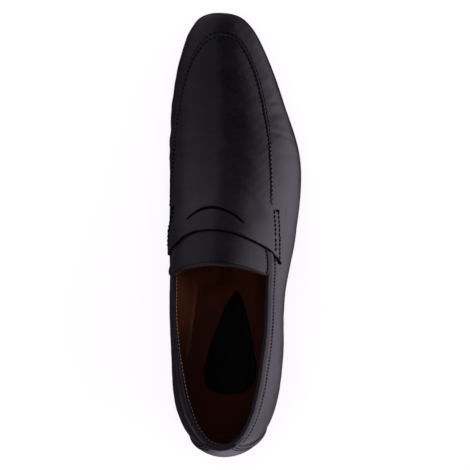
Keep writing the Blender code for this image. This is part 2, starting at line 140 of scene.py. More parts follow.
def bell(x):
    # half a cosine wave, 1 in the middle and 0 from x = -1 and 1 outwards
    return np.where(abs(x) < 1, 0.5 + 0.5 * np.cos(np.pi * np.clip(x, -1, 1)), 0.0)


def dip(off, half):
    # e to the minus square: 1 on a line, falling away over the half width
    return np.exp(-((off / half) ** 2))


def rounded(distance, radius):
    # quarter circle: 0 on the edge, 1 from one radius inwards
    return np.sqrt(1 - (1 - np.clip(distance / radius, 0, 1)) ** 2)


def column(name, share):
    # one column of the sections, as a cubic along the shoe
    return spline(sectionColumn["share"], sectionColumn[name], share)


def sided(name, share, side):
    # the inner or the outer column of a pair
    return np.where(side < 0, column(name + "Medial", share), column(name + "Lateral", share))


def underside(y):
    # level cubic through the heights of the tread
    return spline(lastForm["undersideY"], lastForm["undersideZ"], y, level=True)


def soleTop(y):
    # underside plus the sole's thickness
    return underside(y) + np.interp(y, lastForm["soleY"], lastForm["soleThick"])


def featherY(share):
    # half a cosine from heel to toe, so that the rows crowd at both round ends
    return lastForm["featherBack"] + featherSpan * (1 - np.cos(np.pi * share)) / 2


def shareAt(y):
    # the same turned round, from y to share
    part = (np.asarray(y, float) - lastForm["featherBack"]) / featherSpan
    return np.arccos(1 - 2 * np.clip(part, 0, 1)) / np.pi


def featherXy(share, side):
    # plan of the edge where upper and sole meet
    x = np.where(side < 0, column("medial", share), column("lateral", share))
    return np.stack([x, featherY(share)], -1)


def outward(share, side, step=1e-4):
    # the edge's own direction in plan, turned a quarter so that it points off the shoe
    run = featherXy(np.clip(share + step, 0, 1), side) - featherXy(np.clip(share - step, 0, 1), side)
    return unit(np.stack([run[..., 1], -run[..., 0]], -1) * side[..., None])


def withHeight(plan, z):
    # plan points with a height each
    return np.concatenate([plan, np.asarray(z)[..., None]], -1)


def lastPoint(share, side, up):
    # each section is a cubic with two handles from the feather edge (up 0) to the ridge (up 1)
    share, side, up = together(share, side, up)
    plan = featherXy(share, side)
    foot = withHeight(plan, soleTop(plan[..., 1]) + lastForm["gap"])
    ridge = np.stack([column(name, share) for name in ("ridgeX", "ridgeY", "ridgeZ")], -1)
    swing = outward(share, side) * sided("bulge", share, side)[..., None]
    low = foot + withHeight(swing, column("rise", share))
    span = (plan - ridge[..., :2]) * sided("reach", share, side)[..., None]
    high = ridge + withHeight(span, spline(sectionColumn["share"], ridgeSlope, share) * span[..., 1])
    t = up[..., None]
    return (1 - t) ** 3 * foot + 3 * t * (1 - t) ** 2 * low + 3 * t * t * (1 - t) * high + t**3 * ridge


def lastNormal(share, side, up, step=2e-3):
    # cross product of the steps up and along; on the ridge both halves share the ridge's own normal
    share, side, up = together(share, side, up)
    ahead, behind = np.clip(share + step, 0, 1), np.clip(share - step, 0, 1)
    over, under = np.clip(up + step, 0, 1), np.clip(up - step, 0, 1)
    along = lastPoint(ahead, side, up) - lastPoint(behind, side, up)
    rising = lastPoint(share, side, over) - lastPoint(share, side, under)
    normal = np.cross(rising, along) * -side[..., None]
    slope = spline(sectionColumn["share"], ridgeSlope, share)
    ridge = np.stack([np.zeros_like(slope), -slope, np.ones_like(slope)], -1)
    return unit(np.where((up > 1 - 1e-9)[..., None], ridge, normal))


def raised(share, side, up, distance):
    # points moved off the last along its normals, and those normals
    normal = lastNormal(share, side, up)
    return lastPoint(share, side, up) + normal * np.asarray(distance, float)[..., None], normal


def offLast(share, side, up, distance):
    # the same without the normals
    return raised(share, side, up, distance)[0]


def upPerMm(share, side, up, step=0.005):
    # share up a section that one millimetre along it takes
    return 2 * step / size(lastPoint(share, side, up + step) - lastPoint(share, side, up - step))


def collarUp(share, side):
    # halving search for the share up each section where it meets the collar, 1 ahead of the throat
    low = np.zeros_like(share)
    high = np.ones_like(share)
    for _ in range(40):
        middle = (low + high) / 2
        point = lastPoint(share, side, middle)
        below = point[..., 2] < spline(lastForm["collarY"], lastForm["collarZ"], point[..., 1])
        below |= point[..., 1] >= lastForm["collarY"][-1]
        low = np.where(below, middle, low)
        high = np.where(below, high, middle)
    return np.where(high > 1 - 1e-6, 1.0, high)


def apronUp(share, side):
    # share up each section where the apron seam runs, a level cubic on either side
    medial = spline(lastForm["apronShare"], lastForm["apronMedial"], share, level=True)
    lateral = spline(lastForm["apronShare"], lastForm["apronLateral"], share, level=True)
    return np.where(side < 0, medial, lateral)


def planEdge(share, side, margin):
    # feather edge moved off the shoe by the margin
    sides = np.full(np.shape(share), float(side))
    return featherXy(share, sides) + outward(share, sides) * margin


# Meshes

meshStyle = {"merge": 4e-6, "sliver": 1e-8, "sharp": 55.0}  # metres, metres and degrees


def gridFaces(columns, rows, wrapColumns=False, wrapRows=False):
    # four corners of each cell of a grid, closed round where it wraps
    i = np.arange(columns if wrapColumns else columns - 1)[:, None]
    j = np.arange(rows if wrapRows else rows - 1)[None, :]
    ni, nj = (i + 1) % columns, (j + 1) % rows
    faces = [i * rows + j, i * rows + nj, ni * rows + nj, ni * rows + j]
    return np.stack(faces, -1).reshape(-1, 4)


def putPiece(name, points, faces, materials, slot, replaced=(), faceMaterial=None):
    # points are shoe millimetres; the mesh is moved to the frame's origin and scaled to metres
    mesh = bpy.data.meshes.new(name)
    placed = (np.asarray(points, float).reshape(-1, 3) - np.array(lastForm["centre"])) * mm
    mesh.from_pydata(placed.tolist(), [], np.asarray(faces).tolist())
    for material in materials:
        mesh.materials.append(material)
    if faceMaterial is not None:
        mesh.polygons.foreach_set("material_index", np.asarray(faceMaterial, np.int32))
    work = bmesh.new()
    work.from_mesh(mesh)
    bmesh.ops.remove_doubles(work, verts=work.verts, dist=meshStyle["merge"])
    bmesh.ops.dissolve_degenerate(work, edges=work.edges, dist=meshStyle["sliver"])
    bmesh.ops.recalc_face_normals(work, faces=work.faces)
    work.to_mesh(mesh)
    work.free()
    mesh.shade_smooth()
    mesh.set_sharp_from_angle(angle=math.radians(meshStyle["sharp"]))
    piece = bpy.data.objects.new(name, mesh)
    bpy.context.scene.collection.objects.link(piece)
    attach(piece, "root")
    if replaced:
        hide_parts(*replaced)
    print("made", name, "with", len(mesh.polygons), "faces")
    return piece


def solidBetween(outer, inner):
    # two grids of one shape, closed with a wall around their rim
    columns, rows = outer.shape[:2]
    count = columns * rows
    sheet = gridFaces(columns, rows)
    rim = np.concatenate([
        np.arange(columns) * rows,
        (columns - 1) * rows + np.arange(1, rows),
        np.arange(columns - 2, -1, -1) * rows + rows - 1,
        np.arange(rows - 2, 0, -1),
    ])
    ahead = np.roll(rim, -1)
    wall = np.stack([rim, ahead, count + ahead, count + rim], -1)
    points = np.concatenate([outer.reshape(-1, 3), inner.reshape(-1, 3)])
    return points, np.concatenate([sheet, count + sheet[:, ::-1], wall])


def joined(parts):
    # several lists of points and faces as one
    points, faces, offset = [], [], 0
    for somePoints, someFaces in parts:
        points.append(somePoints)
        faces.append(someFaces + offset)
        offset += len(somePoints)
    return np.concatenate(points), np.concatenate(faces)


def running(line):
    # length along a line up to each of its points
    return np.concatenate([[0], np.cumsum(size(np.diff(line, axis=0)))])


def readAt(values, run, where):
    # rows of values read off at lengths along their line
    return np.stack([np.interp(where, run, column) for column in values.T], -1)


def capsules(start, middle, end, normal, radius, sides=6):
    # short round bars, each bent through three points, with the radius drawn to nothing at both ends
    t = np.array([0.0, 0.1, 0.28, 0.5, 0.72, 0.9, 1.0])[None, :, None]
    swell = np.array([0.0, 0.72, 1.0, 1.0, 1.0, 0.72, 0.0])
    control = 2 * middle - (start + end) / 2
    start, control, end = start[:, None], control[:, None], end[:, None]
    centre = (1 - t) ** 2 * start + 2 * t * (1 - t) * control + t * t * end
    run = unit(2 * (1 - t) * (control - start) + 2 * t * (end - control))
    across = unit(np.cross(run, normal[:, None]))
    over = np.cross(across, run)
    turn = np.linspace(0, 2 * np.pi, sides, endpoint=False)
    ring = across[:, :, None] * np.cos(turn)[:, None] + over[:, :, None] * np.sin(turn)[:, None]
    points = centre[:, :, None] + ring * (radius * swell)[None, :, None, None]
    one = gridFaces(len(swell), sides, wrapRows=True)
    faces = one[None] + (np.arange(len(points)) * len(swell) * sides)[:, None, None]
    return points.reshape(-1, 3), faces.reshape(-1, 4)


def stitchRow(path, normal, style):
    # stitches of one pitch along a path, their ends dipping into the leather
    run = running(path)
    count = max(1, int(run[-1] / style["pitch"]))
    begin = (np.arange(count) + (1 - style["fill"]) / 2) * run[-1] / count
    reach = style["fill"] * run[-1] / count
    up = unit(readAt(normal, run, begin + reach / 2))
    start = readAt(path, run, begin) - up * style["sink"]
    end = readAt(path, run, begin + reach) - up * style["sink"]
    middle = readAt(path, run, begin + reach / 2) + up * style["arch"]
    return capsules(start, middle, end, up, style["radius"])


# Shader maths: arithmetic on a wire adds Math nodes

class Wire:
    def __init__(self, tree, socket=None):
        self.tree = tree
        self.socket = socket

    def node(self, kind, settings=None, inputs=None, output=0):
        made = self.tree.nodes.new(kind)
        for key, value in (settings or {}).items():
            setattr(made, key, value)
        for key, value in (inputs or {}).items():
            if isinstance(value, Wire):
                self.tree.links.new(value.socket, made.inputs[key])
            else:
                made.inputs[key].default_value = value
        return Wire(self.tree, made.outputs[output])

    def math(self, operation, first, second):
        return self.node("ShaderNodeMath", {"operation": operation}, {0: first, 1: second})

    def __add__(self, other):
        return self.math("ADD", self, other)

    def __radd__(self, other):
        return self.math("ADD", other, self)

    def __sub__(self, other):
        return self.math("SUBTRACT", self, other)

    def __rsub__(self, other):
        return self.math("SUBTRACT", other, self)

    def __mul__(self, other):
        return self.math("MULTIPLY", self, other)

    def __rmul__(self, other):
        return self.math("MULTIPLY", other, self)

    def axis(self, name):
        return self.node("ShaderNodeSeparateXYZ", inputs={"Vector": self}, output=name)

    def mixed(self, first, second):
        # this wire as the share of the second colour
        return self.node("ShaderNodeMix", {"data_type": "RGBA"}, {0: self, 6: first, 7: second}, 2)

    def smooth(self, low, high):
        # smooth step from 0 at low to 1 at high
        return self.node(
            "ShaderNodeMapRange", {"interpolation_type": "SMOOTHSTEP"},
            {"Value": self, "From Min": low, "From Max": high, "To Min": 0.0, "To Max": 1.0},
        )


def startMaterial(name):
    # new material with its shader and the piece's own coordinates
    material = bpy.data.materials.new(name)
    material.use_nodes = True
    place = Wire(material.node_tree).node("ShaderNodeTexCoord", output="Object")
    return material, material.node_tree.nodes["Principled BSDF"], place


def connect(wire, shader, socket):
    wire.tree.links.new(wire.socket, shader.inputs[socket])


def noise(place, scale, detail, stretch=None):
    # cells in a metre and detail, or a stretch in the three directions
    if stretch is not None:
        place = place.node("ShaderNodeMapping", inputs={"Vector": place, "Scale": stretch})
    return place.node("ShaderNodeTexNoise", inputs={"Vector": place, "Scale": scale, "Detail": detail})


def blend(first, second, look):
    # two noises by their shares, then a smooth step
    shareFirst, shareSecond = look["toneShares"]
    return (first * shareFirst + second * shareSecond).smooth(*look["toneFrom"])


def swing(wire, amount):
    # half the amount down and half up
    return (wire - 0.5) * amount


def finishMaterial(shader, colour, roughness, height, look):
    # colour and roughness vary, height gives the bump, the specular level is even
    connect(colour, shader, "Base Color")
    connect(roughness, shader, "Roughness")
    bump = height.node(
        "ShaderNodeBump",
        inputs={"Strength": look["bump"], "Distance": look["grainDepth"], "Height": height},
        output="Normal",
    )
    connect(bump, shader, "Normal")
    shader.inputs["Specular IOR Level"].default_value = look["specular"]


leatherLook = {
    "black": (0.0046, 0.0041, 0.0056, 1.0),
    "worn": (0.0108, 0.0094, 0.0126, 1.0),
    "toneShares": (0.65, 0.35),
    "toneFrom": (0.38, 0.72),
    "roughness": 0.31,
    "roughnessSpread": 0.14,
    "grainScale": 1150.0,  # cells in a metre
    "grainSoft": 0.6,
    "pores": (2600.0, 2.0),
    "clouds": (38.0, 3.0),
    "scuffs": (360.0, 4.0),
    "relief": (0.7, 0.45, 1.6),  # of the grain, the pores and the scuffs
    "grainDepth": 0.00013,
    "bump": 0.55,
    "specular": 0.5,
    "coat": 0.58,  # polish, wearing off towards the toe between these places
    "coatFrom": (0.02, 0.11),
    "coatRoughness": 0.26,
}


def makeLeather(name, look):
    # pebbled grain of soft cells with finer pores, cloudy wear in colour and gloss
    material, shader, place = startMaterial(name)
    cells = place.node(
        "ShaderNodeTexVoronoi", {"feature": "SMOOTH_F1"},
        {"Vector": place, "Scale": look["grainScale"], "Smoothness": look["grainSoft"]}, "Distance",
    )
    pores, cloud, scuff = (noise(place, *look[kind]) for kind in ("pores", "clouds", "scuffs"))
    grainHigh, poreHigh, scuffHigh = look["relief"]
    height = grainHigh * cells + poreHigh * pores + scuffHigh * scuff
    colour = blend(cloud, scuff, look).mixed(look["black"], look["worn"])
    spread = look["roughnessSpread"]
    roughness = look["roughness"] + swing(scuff, spread) + swing(cloud, spread)
    finishMaterial(shader, colour, roughness, height, look)
    connect(look["coat"] * (1 - place.axis("Y").smooth(*look["coatFrom"])), shader, "Coat Weight")
    shader.inputs["Coat Roughness"].default_value = look["coatRoughness"]
    return material


liningLook = {
    "light": (0.330, 0.108, 0.038, 1.0),
    "dark": (0.200, 0.058, 0.021, 1.0),
    "heel": (0.060, 0.017, 0.010, 1.0),
    "heelFrom": (-0.030, -0.105),  # metres along the frame between which painted shade darkens it towards the heel
    "deep": (0.120, 0.037, 0.013, 1.0),
    "deepShadeFrom": (0.014, 0.036),  # and up the wall, below which painted shade darkens it deep in the shoe
    "clouds": (46.0, 4.0), "pile": (700.0, 3.0), "grain": (2200.0, 2.0),
    "toneShares": (0.8, 0.2), "toneFrom": (0.3, 0.7),
    "roughness": 0.55, "roughnessSpread": 0.2, "specular": 0.3,
    "pileHigh": 0.6, "grainDepth": 0.00008, "bump": 0.5,
}


def heelShadeShare(place, look):
    # share of painted shade towards the heel: 0 in front of the first place along the frame, 1 behind the
    # second
    front, rear = look["heelFrom"]
    return 1 - place.axis("Y").smooth(rear, front)


def makeLining(name, look):
    # soft tan leather: broad clouds of colour and a fine even grain, with painted shade low down in the shoe
    # and towards the heel
    material, shader, place = startMaterial(name)
    cloud, pile, grain = (noise(place, *look[kind]) for kind in ("clouds", "pile", "grain"))
    colour = blend(cloud, pile, look).mixed(look["dark"], look["light"])
    # painted shade: darker low down in the shoe
    colour = place.axis("Z").smooth(*look["deepShadeFrom"]).mixed(look["deep"], colour)
    # painted shade: darker towards the heel
    colour = heelShadeShare(place, look).mixed(colour, look["heel"])
    roughness = look["roughness"] + swing(pile, look["roughnessSpread"])
    finishMaterial(shader, colour, roughness, grain + pile * look["pileHigh"], look)
    return material


sockLook = {
    "light": (0.285, 0.080, 0.020, 1.0),
    "dark": (0.095, 0.021, 0.006, 1.0),
    # painted shade towards the heel, between the places along the frame on the next line
    "heel": (0.056, 0.012, 0.006, 1.0),
    "heelFrom": (0.016, -0.070),
    "rub": (1.0, 4.0, (120.0, 40.0, 60.0)), "clouds": (52.0, 5.0), "grain": (1900.0, 2.0),
    "toneShares": (0.35, 0.65), "toneFrom": (0.40, 0.62),
    "roughness": 0.52, "roughnessSpread": 0.3, "specular": 0.10,
    "rubHigh": 0.8, "grainDepth": 0.00006, "bump": 0.5,
}


def makeSock(name, look):
    # polished brown sock: cloudy rubbing, a little drawn out along the foot, with painted shade towards the
    # heel
    material, shader, place = startMaterial(name)
    rub, cloud, grain = (noise(place, *look[kind]) for kind in ("rub", "clouds", "grain"))
    colour = blend(rub, cloud, look).mixed(look["dark"], look["light"])
    # painted shade: darker towards the heel
    colour = heelShadeShare(place, look).mixed(colour, look["heel"])
    roughness = look["roughness"] + swing(cloud, look["roughnessSpread"])
    finishMaterial(shader, colour, roughness, grain + rub * look["rubHigh"], look)
    return material


padLook = {
    "black": (0.0016, 0.0016, 0.0017, 1.0),
    "rubbed": (0.0060, 0.0058, 0.0060, 1.0),
    "streaks": (1.0, 3.0, (420.0, 22.0, 60.0)), "clouds": (60.0, 3.0), "grain": (1500.0, 3.0),
    "toneShares": (0.6, 0.4), "toneFrom": (0.42, 0.7),
    "roughness": 0.66, "roughnessSpread": 0.25, "specular": 0.14,
    "grainDepth": 0.0001, "bump": 0.5,
}


def makePad(name, look):
    # matt foam-backed leather with faint lengthwise rubbing
    material, shader, place = startMaterial(name)
    streak, cloud, grain = (noise(place, *look[kind]) for kind in ("streaks", "clouds", "grain"))
    colour = blend(streak, cloud, look).mixed(look["black"], look["rubbed"])
    roughness = look["roughness"] + swing(streak, look["roughnessSpread"])
    finishMaterial(shader, colour, roughness, grain + streak, look)
    return material


rubberLook = {
    "black": (0.0080, 0.0075, 0.0090, 1.0),
    "dusty": (0.0185, 0.0175, 0.0195, 1.0),
    "clouds": (52.0, 4.0), "specks": (900.0, 3.0), "stipple": (3200.0, 2.0),
    "toneShares": (0.6, 0.4), "toneFrom": (0.42, 0.74),
    "roughness": 0.50, "cloudSpread": 0.22, "speckSpread": 0.12, "specular": 0.5,
    "grainDepth": 0.00005, "bump": 0.45,
}
liftLook = {
    **rubberLook,
    "black": (0.0085, 0.0080, 0.0088, 1.0),
    "dusty": (0.0240, 0.0225, 0.0230, 1.0),
    "roughness": 0.60,
}


def makeRubber(name, look):
    # moulded rubber: fine spark-eroded stipple, dull clouds where it was handled
    material, shader, place = startMaterial(name)
    cloud, speck, stipple = (noise(place, *look[kind]) for kind in ("clouds", "specks", "stipple"))
    colour = blend(cloud, speck, look).mixed(look["black"], look["dusty"])
    roughness = look["roughness"] + swing(cloud, look["cloudSpread"]) + swing(speck, look["speckSpread"])
    finishMaterial(shader, colour, roughness, stipple, look)
    return material


threadLook = {
    "black": ((0.0018, 0.0016, 0.0021, 1.0), (0.0046, 0.0043, 0.0052, 1.0)),
    "tan": ((0.52, 0.34, 0.20, 1.0), (0.82, 0.64, 0.46, 1.0)),
    "edge": ((0.0016, 0.0015, 0.0019, 1.0), (0.0036, 0.0033, 0.0040, 1.0)),  # dyed cut edges, made darker than the leather as painted shade too
    "strands": (2600.0, 3.0), "strandFrom": (0.35, 0.65),
    "roughness": 0.55, "roughnessSpread": 0.25, "specular": 0.07,
    "grainDepth": 0.0001, "bump": 0.6,
}


def makeThread(name, dye):
    # waxed thread: fine twisted strands, dull
    look = threadLook
    material, shader, place = startMaterial(name)
    strand = noise(place, *look["strands"])
    colour = strand.smooth(*look["strandFrom"]).mixed(*look[dye])
    finishMaterial(shader, colour, look["roughness"] + strand * look["roughnessSpread"], strand, look)
    return material


edgeLook = {**leatherLook, "roughness": 0.52, "coat": 0.0, "grainDepth": 0.00004}
tongueLook = {**leatherLook, "roughness": 0.40, "coat": 0.30}
blackLeather = makeLeather("blackLeather", leatherLook)
edgeLeather = makeLeather("edgeLeather", edgeLook)
tongueLeather = makeLeather("tongueLeather", tongueLook)
# dyed cut edges, darker than the leather, also as painted shade along the strap's edges and in its slot
dyedEdgeAndShade = makeThread("dyedEdgeAndShade", "edge")
tanLining = makeLining("tanLining", liningLook)
brownSock = makeSock("brownSock", sockLook)
padLeather = makePad("padLeather", padLook)
soleRubber = makeRubber("soleRubber", rubberLook)
liftRubber = makeRubber("liftRubber", liftLook)
blackThread = makeThread("blackThread", "black")
tanThread = makeThread("tanThread", "tan")
print("materials ready")


# Saddle sizes, and the slot's line in plan

saddleStyle = {
    "across": (-1.0, -0.75, -0.5, -0.25, 0.0, 0.25, 0.5, 0.75, 1.0),
    "front": (166, 168, 173, 178, 181, 178.5, 174, 169, 166),
    "rear": (136.0, 140.8, 147.0, 150.3, 150.7, 148.6, 144.0, 138.4, 129.6),
    "end": 0.40,  # share up the wall where the strap ends
    "thick": 1.7, "frontThick": 0.04, "skive": 0.62, "edgeThick": 0.25,
    "seat": 0.05, "edgeRadius": 1.0,
    "dyeAndShade": 1.0, "lipDyeAndShade": 0.45,  # width of the dyed edges, darkened also as painted shade
    "columns": 181, "frontRows": 26, "rearRows": 30, "searchRows": 401,
    "slotX": (-21.8, -3.0, 15.8), "slotY": (157.5, 166.1, 155.7), "slotWidth": 1.3,
    "slotBlunt": 8,  # how late the slot narrows to its ends
    "split": 0.45,  # where the rows part beside the slot
}


def slotLine(x):
    # parabola through the slot's ends and its crown, running on level outside them
    style = saddleStyle
    first, crown, last = style["slotY"]
    t = (x - style["slotX"][0]) / (style["slotX"][2] - style["slotX"][0])
    within = (t > 0) & (t < 1)
    t = np.clip(t, 0, 1)
    y = first + (last - first) * t + (crown - (first + last) / 2) * (1 - (2 * t - 1) ** 2)
    half = style["slotWidth"] / 2 * np.sqrt(np.clip(1 - (2 * t - 1) ** style["slotBlunt"], 0, 1))
    return y, np.where(within, half, 0.0)


# Upper: outer skin with the raised apron seam, rolled collar and lining, as one closed wall

upperStyle = {
    "stations": 300,
    "wallRows": 20,
    "seamRows": 22,
    "vampRows": 28,
    "collarRows": 20,
    "rimRows": 11,
    "insideRows": 22,
    "wall": 2.0,
    "seamHeight": 0.66,
    "seamHalf": 1.45,
    "seamBand": 3.2,
    "seamFrom": 166.5,  # the seam fades in from here to the toe
    "seamFade": 9.0,
    "rowY": (203, 207, 212, 222, 240, 285, 299),  # the two stitch rows part between these places
    "rowOff": (0.42, 0.55, 0.85, 1.14, 1.38, 1.40, 1.55),
    "groove": 0.30,
    "grooveHalf": 0.50,
    "lump": 0.10,  # slow unevenness of hand lasting
    "collarBand": 10.0,
    "vampLeast": 0.3,  # share of the way from seam to collar that stays vamp at least
    "collarRoll": 0.95,
    "collarRollMiddle": 2.6,
    "collarRollHalf": 3.4,
    "collarStitch": 6.6,
    "collarGroove": 0.34,
    "collarGrooveHalf": 0.6,
    "liningStitch": 0.55,
    "collarFrom": (150.0, 138.0),  # the roll fades out under the saddle
    "rimBulge": 1.25,
    "slopeAt": 0.99,  # shares up at which steps are measured where the wall closes over the foot
    "rimAt": 0.995,
    "rimStep": 0.01,
    "slotShade": 1.9,  # painted shade this far around the saddle's slot, on the wall seen through it
    "facing": 6.4,  # black padded strip inside the collar, with how far it swells inwards
    "facingTop": 0.35,
    "facingTurn": 1.15,
    "facingStep": 14,
    "facingY": (0, 14, 30, 46, 66, 92, 134),
    "facingMedial": (1.6, 2.8, 4.2, 3.6, 2.4, 1.9, 1.7),
    "facingLateral": (1.6, 2.0, 2.4, 2.7, 2.8, 2.6, 2.0),
    "facingMarks": (0.0, 0.8, 1.8, 3.0, 4.4, 5.6, 6.2, 6.6, 7.2, 9.0),
}
skinBands = ("wallRows", "seamRows", "vampRows", "collarRows")

# Creases: side, y and share up where each starts and ends, half width and depth
creaseColumns = ("side", "fromY", "fromUp", "toY", "toUp", "half", "depth")
creases = (
    (1, 233.8, 0.80, 237.8, 0.34, 1.5, 0.50),
    (1, 227.5, 0.52, 231.0, 0.16, 2.6, 0.28),
    (1, 217.0, 0.56, 211.0, 0.20, 1.8, 0.52),
    (1, 203.0, 0.50, 199.0, 0.14, 3.0, 0.28),
    (1, 190.0, 0.44, 188.0, 0.12, 4.2, 0.26),
    (1, 246.0, 0.50, 250.0, 0.12, 3.0, 0.20),
    (-1, 222.0, 0.34, 218.0, 0.08, 3.4, 0.42),
    (-1, 208.0, 0.32, 205.0, 0.08, 3.0, 0.36),
    (-1, 240.0, 0.42, 244.0, 0.12, 3.2, 0.36),
    (1, 174.4, 0.806, 171.5, 0.765, 0.75, 0.50),
    (1, 171.6, 0.767, 169.4, 0.724, 0.85, 0.55),
)
creaseShape = {"tail": 0.04, "taper": 0.7, "swell": 0.45, "swellAt": 1.9}

# Waves of hand lasting: weight, then x, y, z and phase of two sines
lastingWaves = (
    (1.0, (0.13, 0.21, 0.0, 1.3), (-0.11, 0.0, 0.17, 0.4)),
    (0.7, (0.0, 0.34, -0.27, 2.1), (0.23, 0.19, 0.0, 0.0)),
    (0.5, (0.0, 0.52, 0.41, 0.0), (0.47, -0.38, 0.0, 0.9)),
)


def seamRow(share):
    # distance of the two stitch rows from the seam, read off by y
    return np.interp(featherY(share), upperStyle["rowY"], upperStyle["rowOff"])


def seamLift(share, off):
    # a cosine ridge on the seam line with a shallow trench under each stitch row
    style = upperStyle
    grown = np.clip((featherY(share) - style["seamFrom"]) / style["seamFade"], 0, 1)
    trench = dip(abs(off) - seamRow(share), style["grooveHalf"])
    return grown * (style["seamHeight"] * bell(off / style["seamHalf"]) - style["groove"] * trench)


def collarFade(share):
    # straight ramp from 0 under the saddle to 1 along the collar
    low, high = upperStyle["collarFrom"]
    return np.clip((featherY(share) - low) / (high - low), 0, 1)


def collarLift(share, down):
    # a half wave that rolls over the edge, then a trench under the stitches below it
    style = upperStyle
    roll = style["collarRoll"] * bell((down - style["collarRollMiddle"]) / style["collarRollHalf"])
    trench = style["collarGroove"] * dip(down - style["collarStitch"], style["collarGrooveHalf"])
    return collarFade(share) * (roll - trench)


def facingSwell(share, side, down):
    # the padded strip swells as a quarter sine to its lower edge, where it steps back to the lining
    style = upperStyle
    swells = style["facingMedial"] if side < 0 else style["facingLateral"]
    swell = np.interp(featherY(share), style["facingY"], swells)
    ramp = np.sin(np.pi / 2 * np.clip(down / style["facing"] * style["facingTurn"], 0, 1))
    step = 1 / (1 + np.exp((down - style["facing"]) * style["facingStep"]))
    return swell * (style["facingTop"] + (1 - style["facingTop"]) * ramp) * step * collarFade(share)


def creaseLift(points):
    # soft trough along each line, with a low swelling on either side
    shape = creaseShape
    lift = np.zeros(points.shape[:-1])
    for row in creases:
        crease = dict(zip(creaseColumns, row))
        ends = lastPoint(
            shareAt(np.array([crease["fromY"], crease["toY"]])), crease["side"],
            np.array([crease["fromUp"], crease["toUp"]]),
        )
        line = ends[1] - ends[0]
        along = np.clip(((points - ends[0]) @ line) / (line @ line), 0, 1)
        away = size(points - ends[0] - along[..., None] * line) / crease["half"]
        taper = np.sin(np.pi * np.clip(along, shape["tail"], 1 - shape["tail"])) ** shape["taper"]
        beside = shape["swell"] * dip(away - shape["swellAt"], 1)
        lift += crease["depth"] * taper * (beside - dip(away, 1))
    return lift


def lastingLift(points):
    # products of two sines in three directions, summed, so that reflections aren't ruled straight
    lift = 0
    for weight, *pair in lastingWaves:
        first, second = (np.sin(points @ np.array(wave[:3]) + wave[3]) for wave in pair)
        lift = lift + weight * first * second
    return upperStyle["lump"] * lift


def upperHalf(share, side):
    # rows follow the feather edge, the seam, the vamp, the collar, the rim and the inside
    style = upperStyle
    sides = np.full(len(share), side)
    seam = apronUp(share, sides)
    top = collarUp(share, sides)
    perSeam = upPerMm(share, sides, seam)
    perTop = upPerMm(share, sides, np.minimum(top, style["slopeAt"]))
    shoulder = seam + style["seamBand"] * perSeam
    least = shoulder + style["vampLeast"] * (top - shoulder)
    bandStart = np.maximum(top - style["collarBand"] * perTop, least)
    marks = [np.zeros_like(seam), seam - style["seamBand"] * perSeam, shoulder, bandStart, top]
    ups = []
    for k, name in enumerate(skinBands):
        part = np.linspace(0, 1, style[name], endpoint=False)
        ups.append(marks[k][:, None] + (marks[k + 1] - marks[k])[:, None] * part)
    ups = np.concatenate(ups + [top[:, None]], 1)
    shares = np.repeat(share[:, None], ups.shape[1], 1)
    skin = lastPoint(shares, side, ups)
    down = (top[:, None] - ups) / perTop[:, None]
    lift = seamLift(shares, (ups - seam[:, None]) / perSeam[:, None]) + collarLift(shares, down)
    lift = lift + creaseLift(skin) + lastingLift(skin)
    skin = skin + lastNormal(shares, side, ups) * lift[..., None]

    nearUp = top[:, None] - np.array(style["facingMarks"]) * perTop[:, None]
    deep = np.linspace(1, 0, style["insideRows"] + 1)[1:]
    insideUp = np.concatenate([nearUp, nearUp[:, -1:] * deep], 1)
    insideDown = (top[:, None] - insideUp) / perTop[:, None]
    shares = np.repeat(share[:, None], insideUp.shape[1], 1)
    inside = offLast(shares, side, insideUp, -style["wall"] - facingSwell(shares, side, insideDown))

    # the rim is half an ellipse from the outer to the inner edge, bulging up the section
    turn = np.linspace(0, np.pi, style["rimRows"] + 2)[1:-1][None, :, None]
    rimAt = np.minimum(top, style["rimAt"])
    rising = unit(lastPoint(share, sides, rimAt) - lastPoint(share, sides, rimAt - style["rimStep"]))
    bulge = rising * (style["rimBulge"] * (top < 1))[:, None]
    middle = (skin[:, -1] + inside[:, 0]) / 2
    radial = skin[:, -1] - middle
    rim = middle[:, None] + radial[:, None] * np.cos(turn) + bulge[:, None] * np.sin(turn)
    return np.concatenate([skin, rim, inside], 1), top >= 1


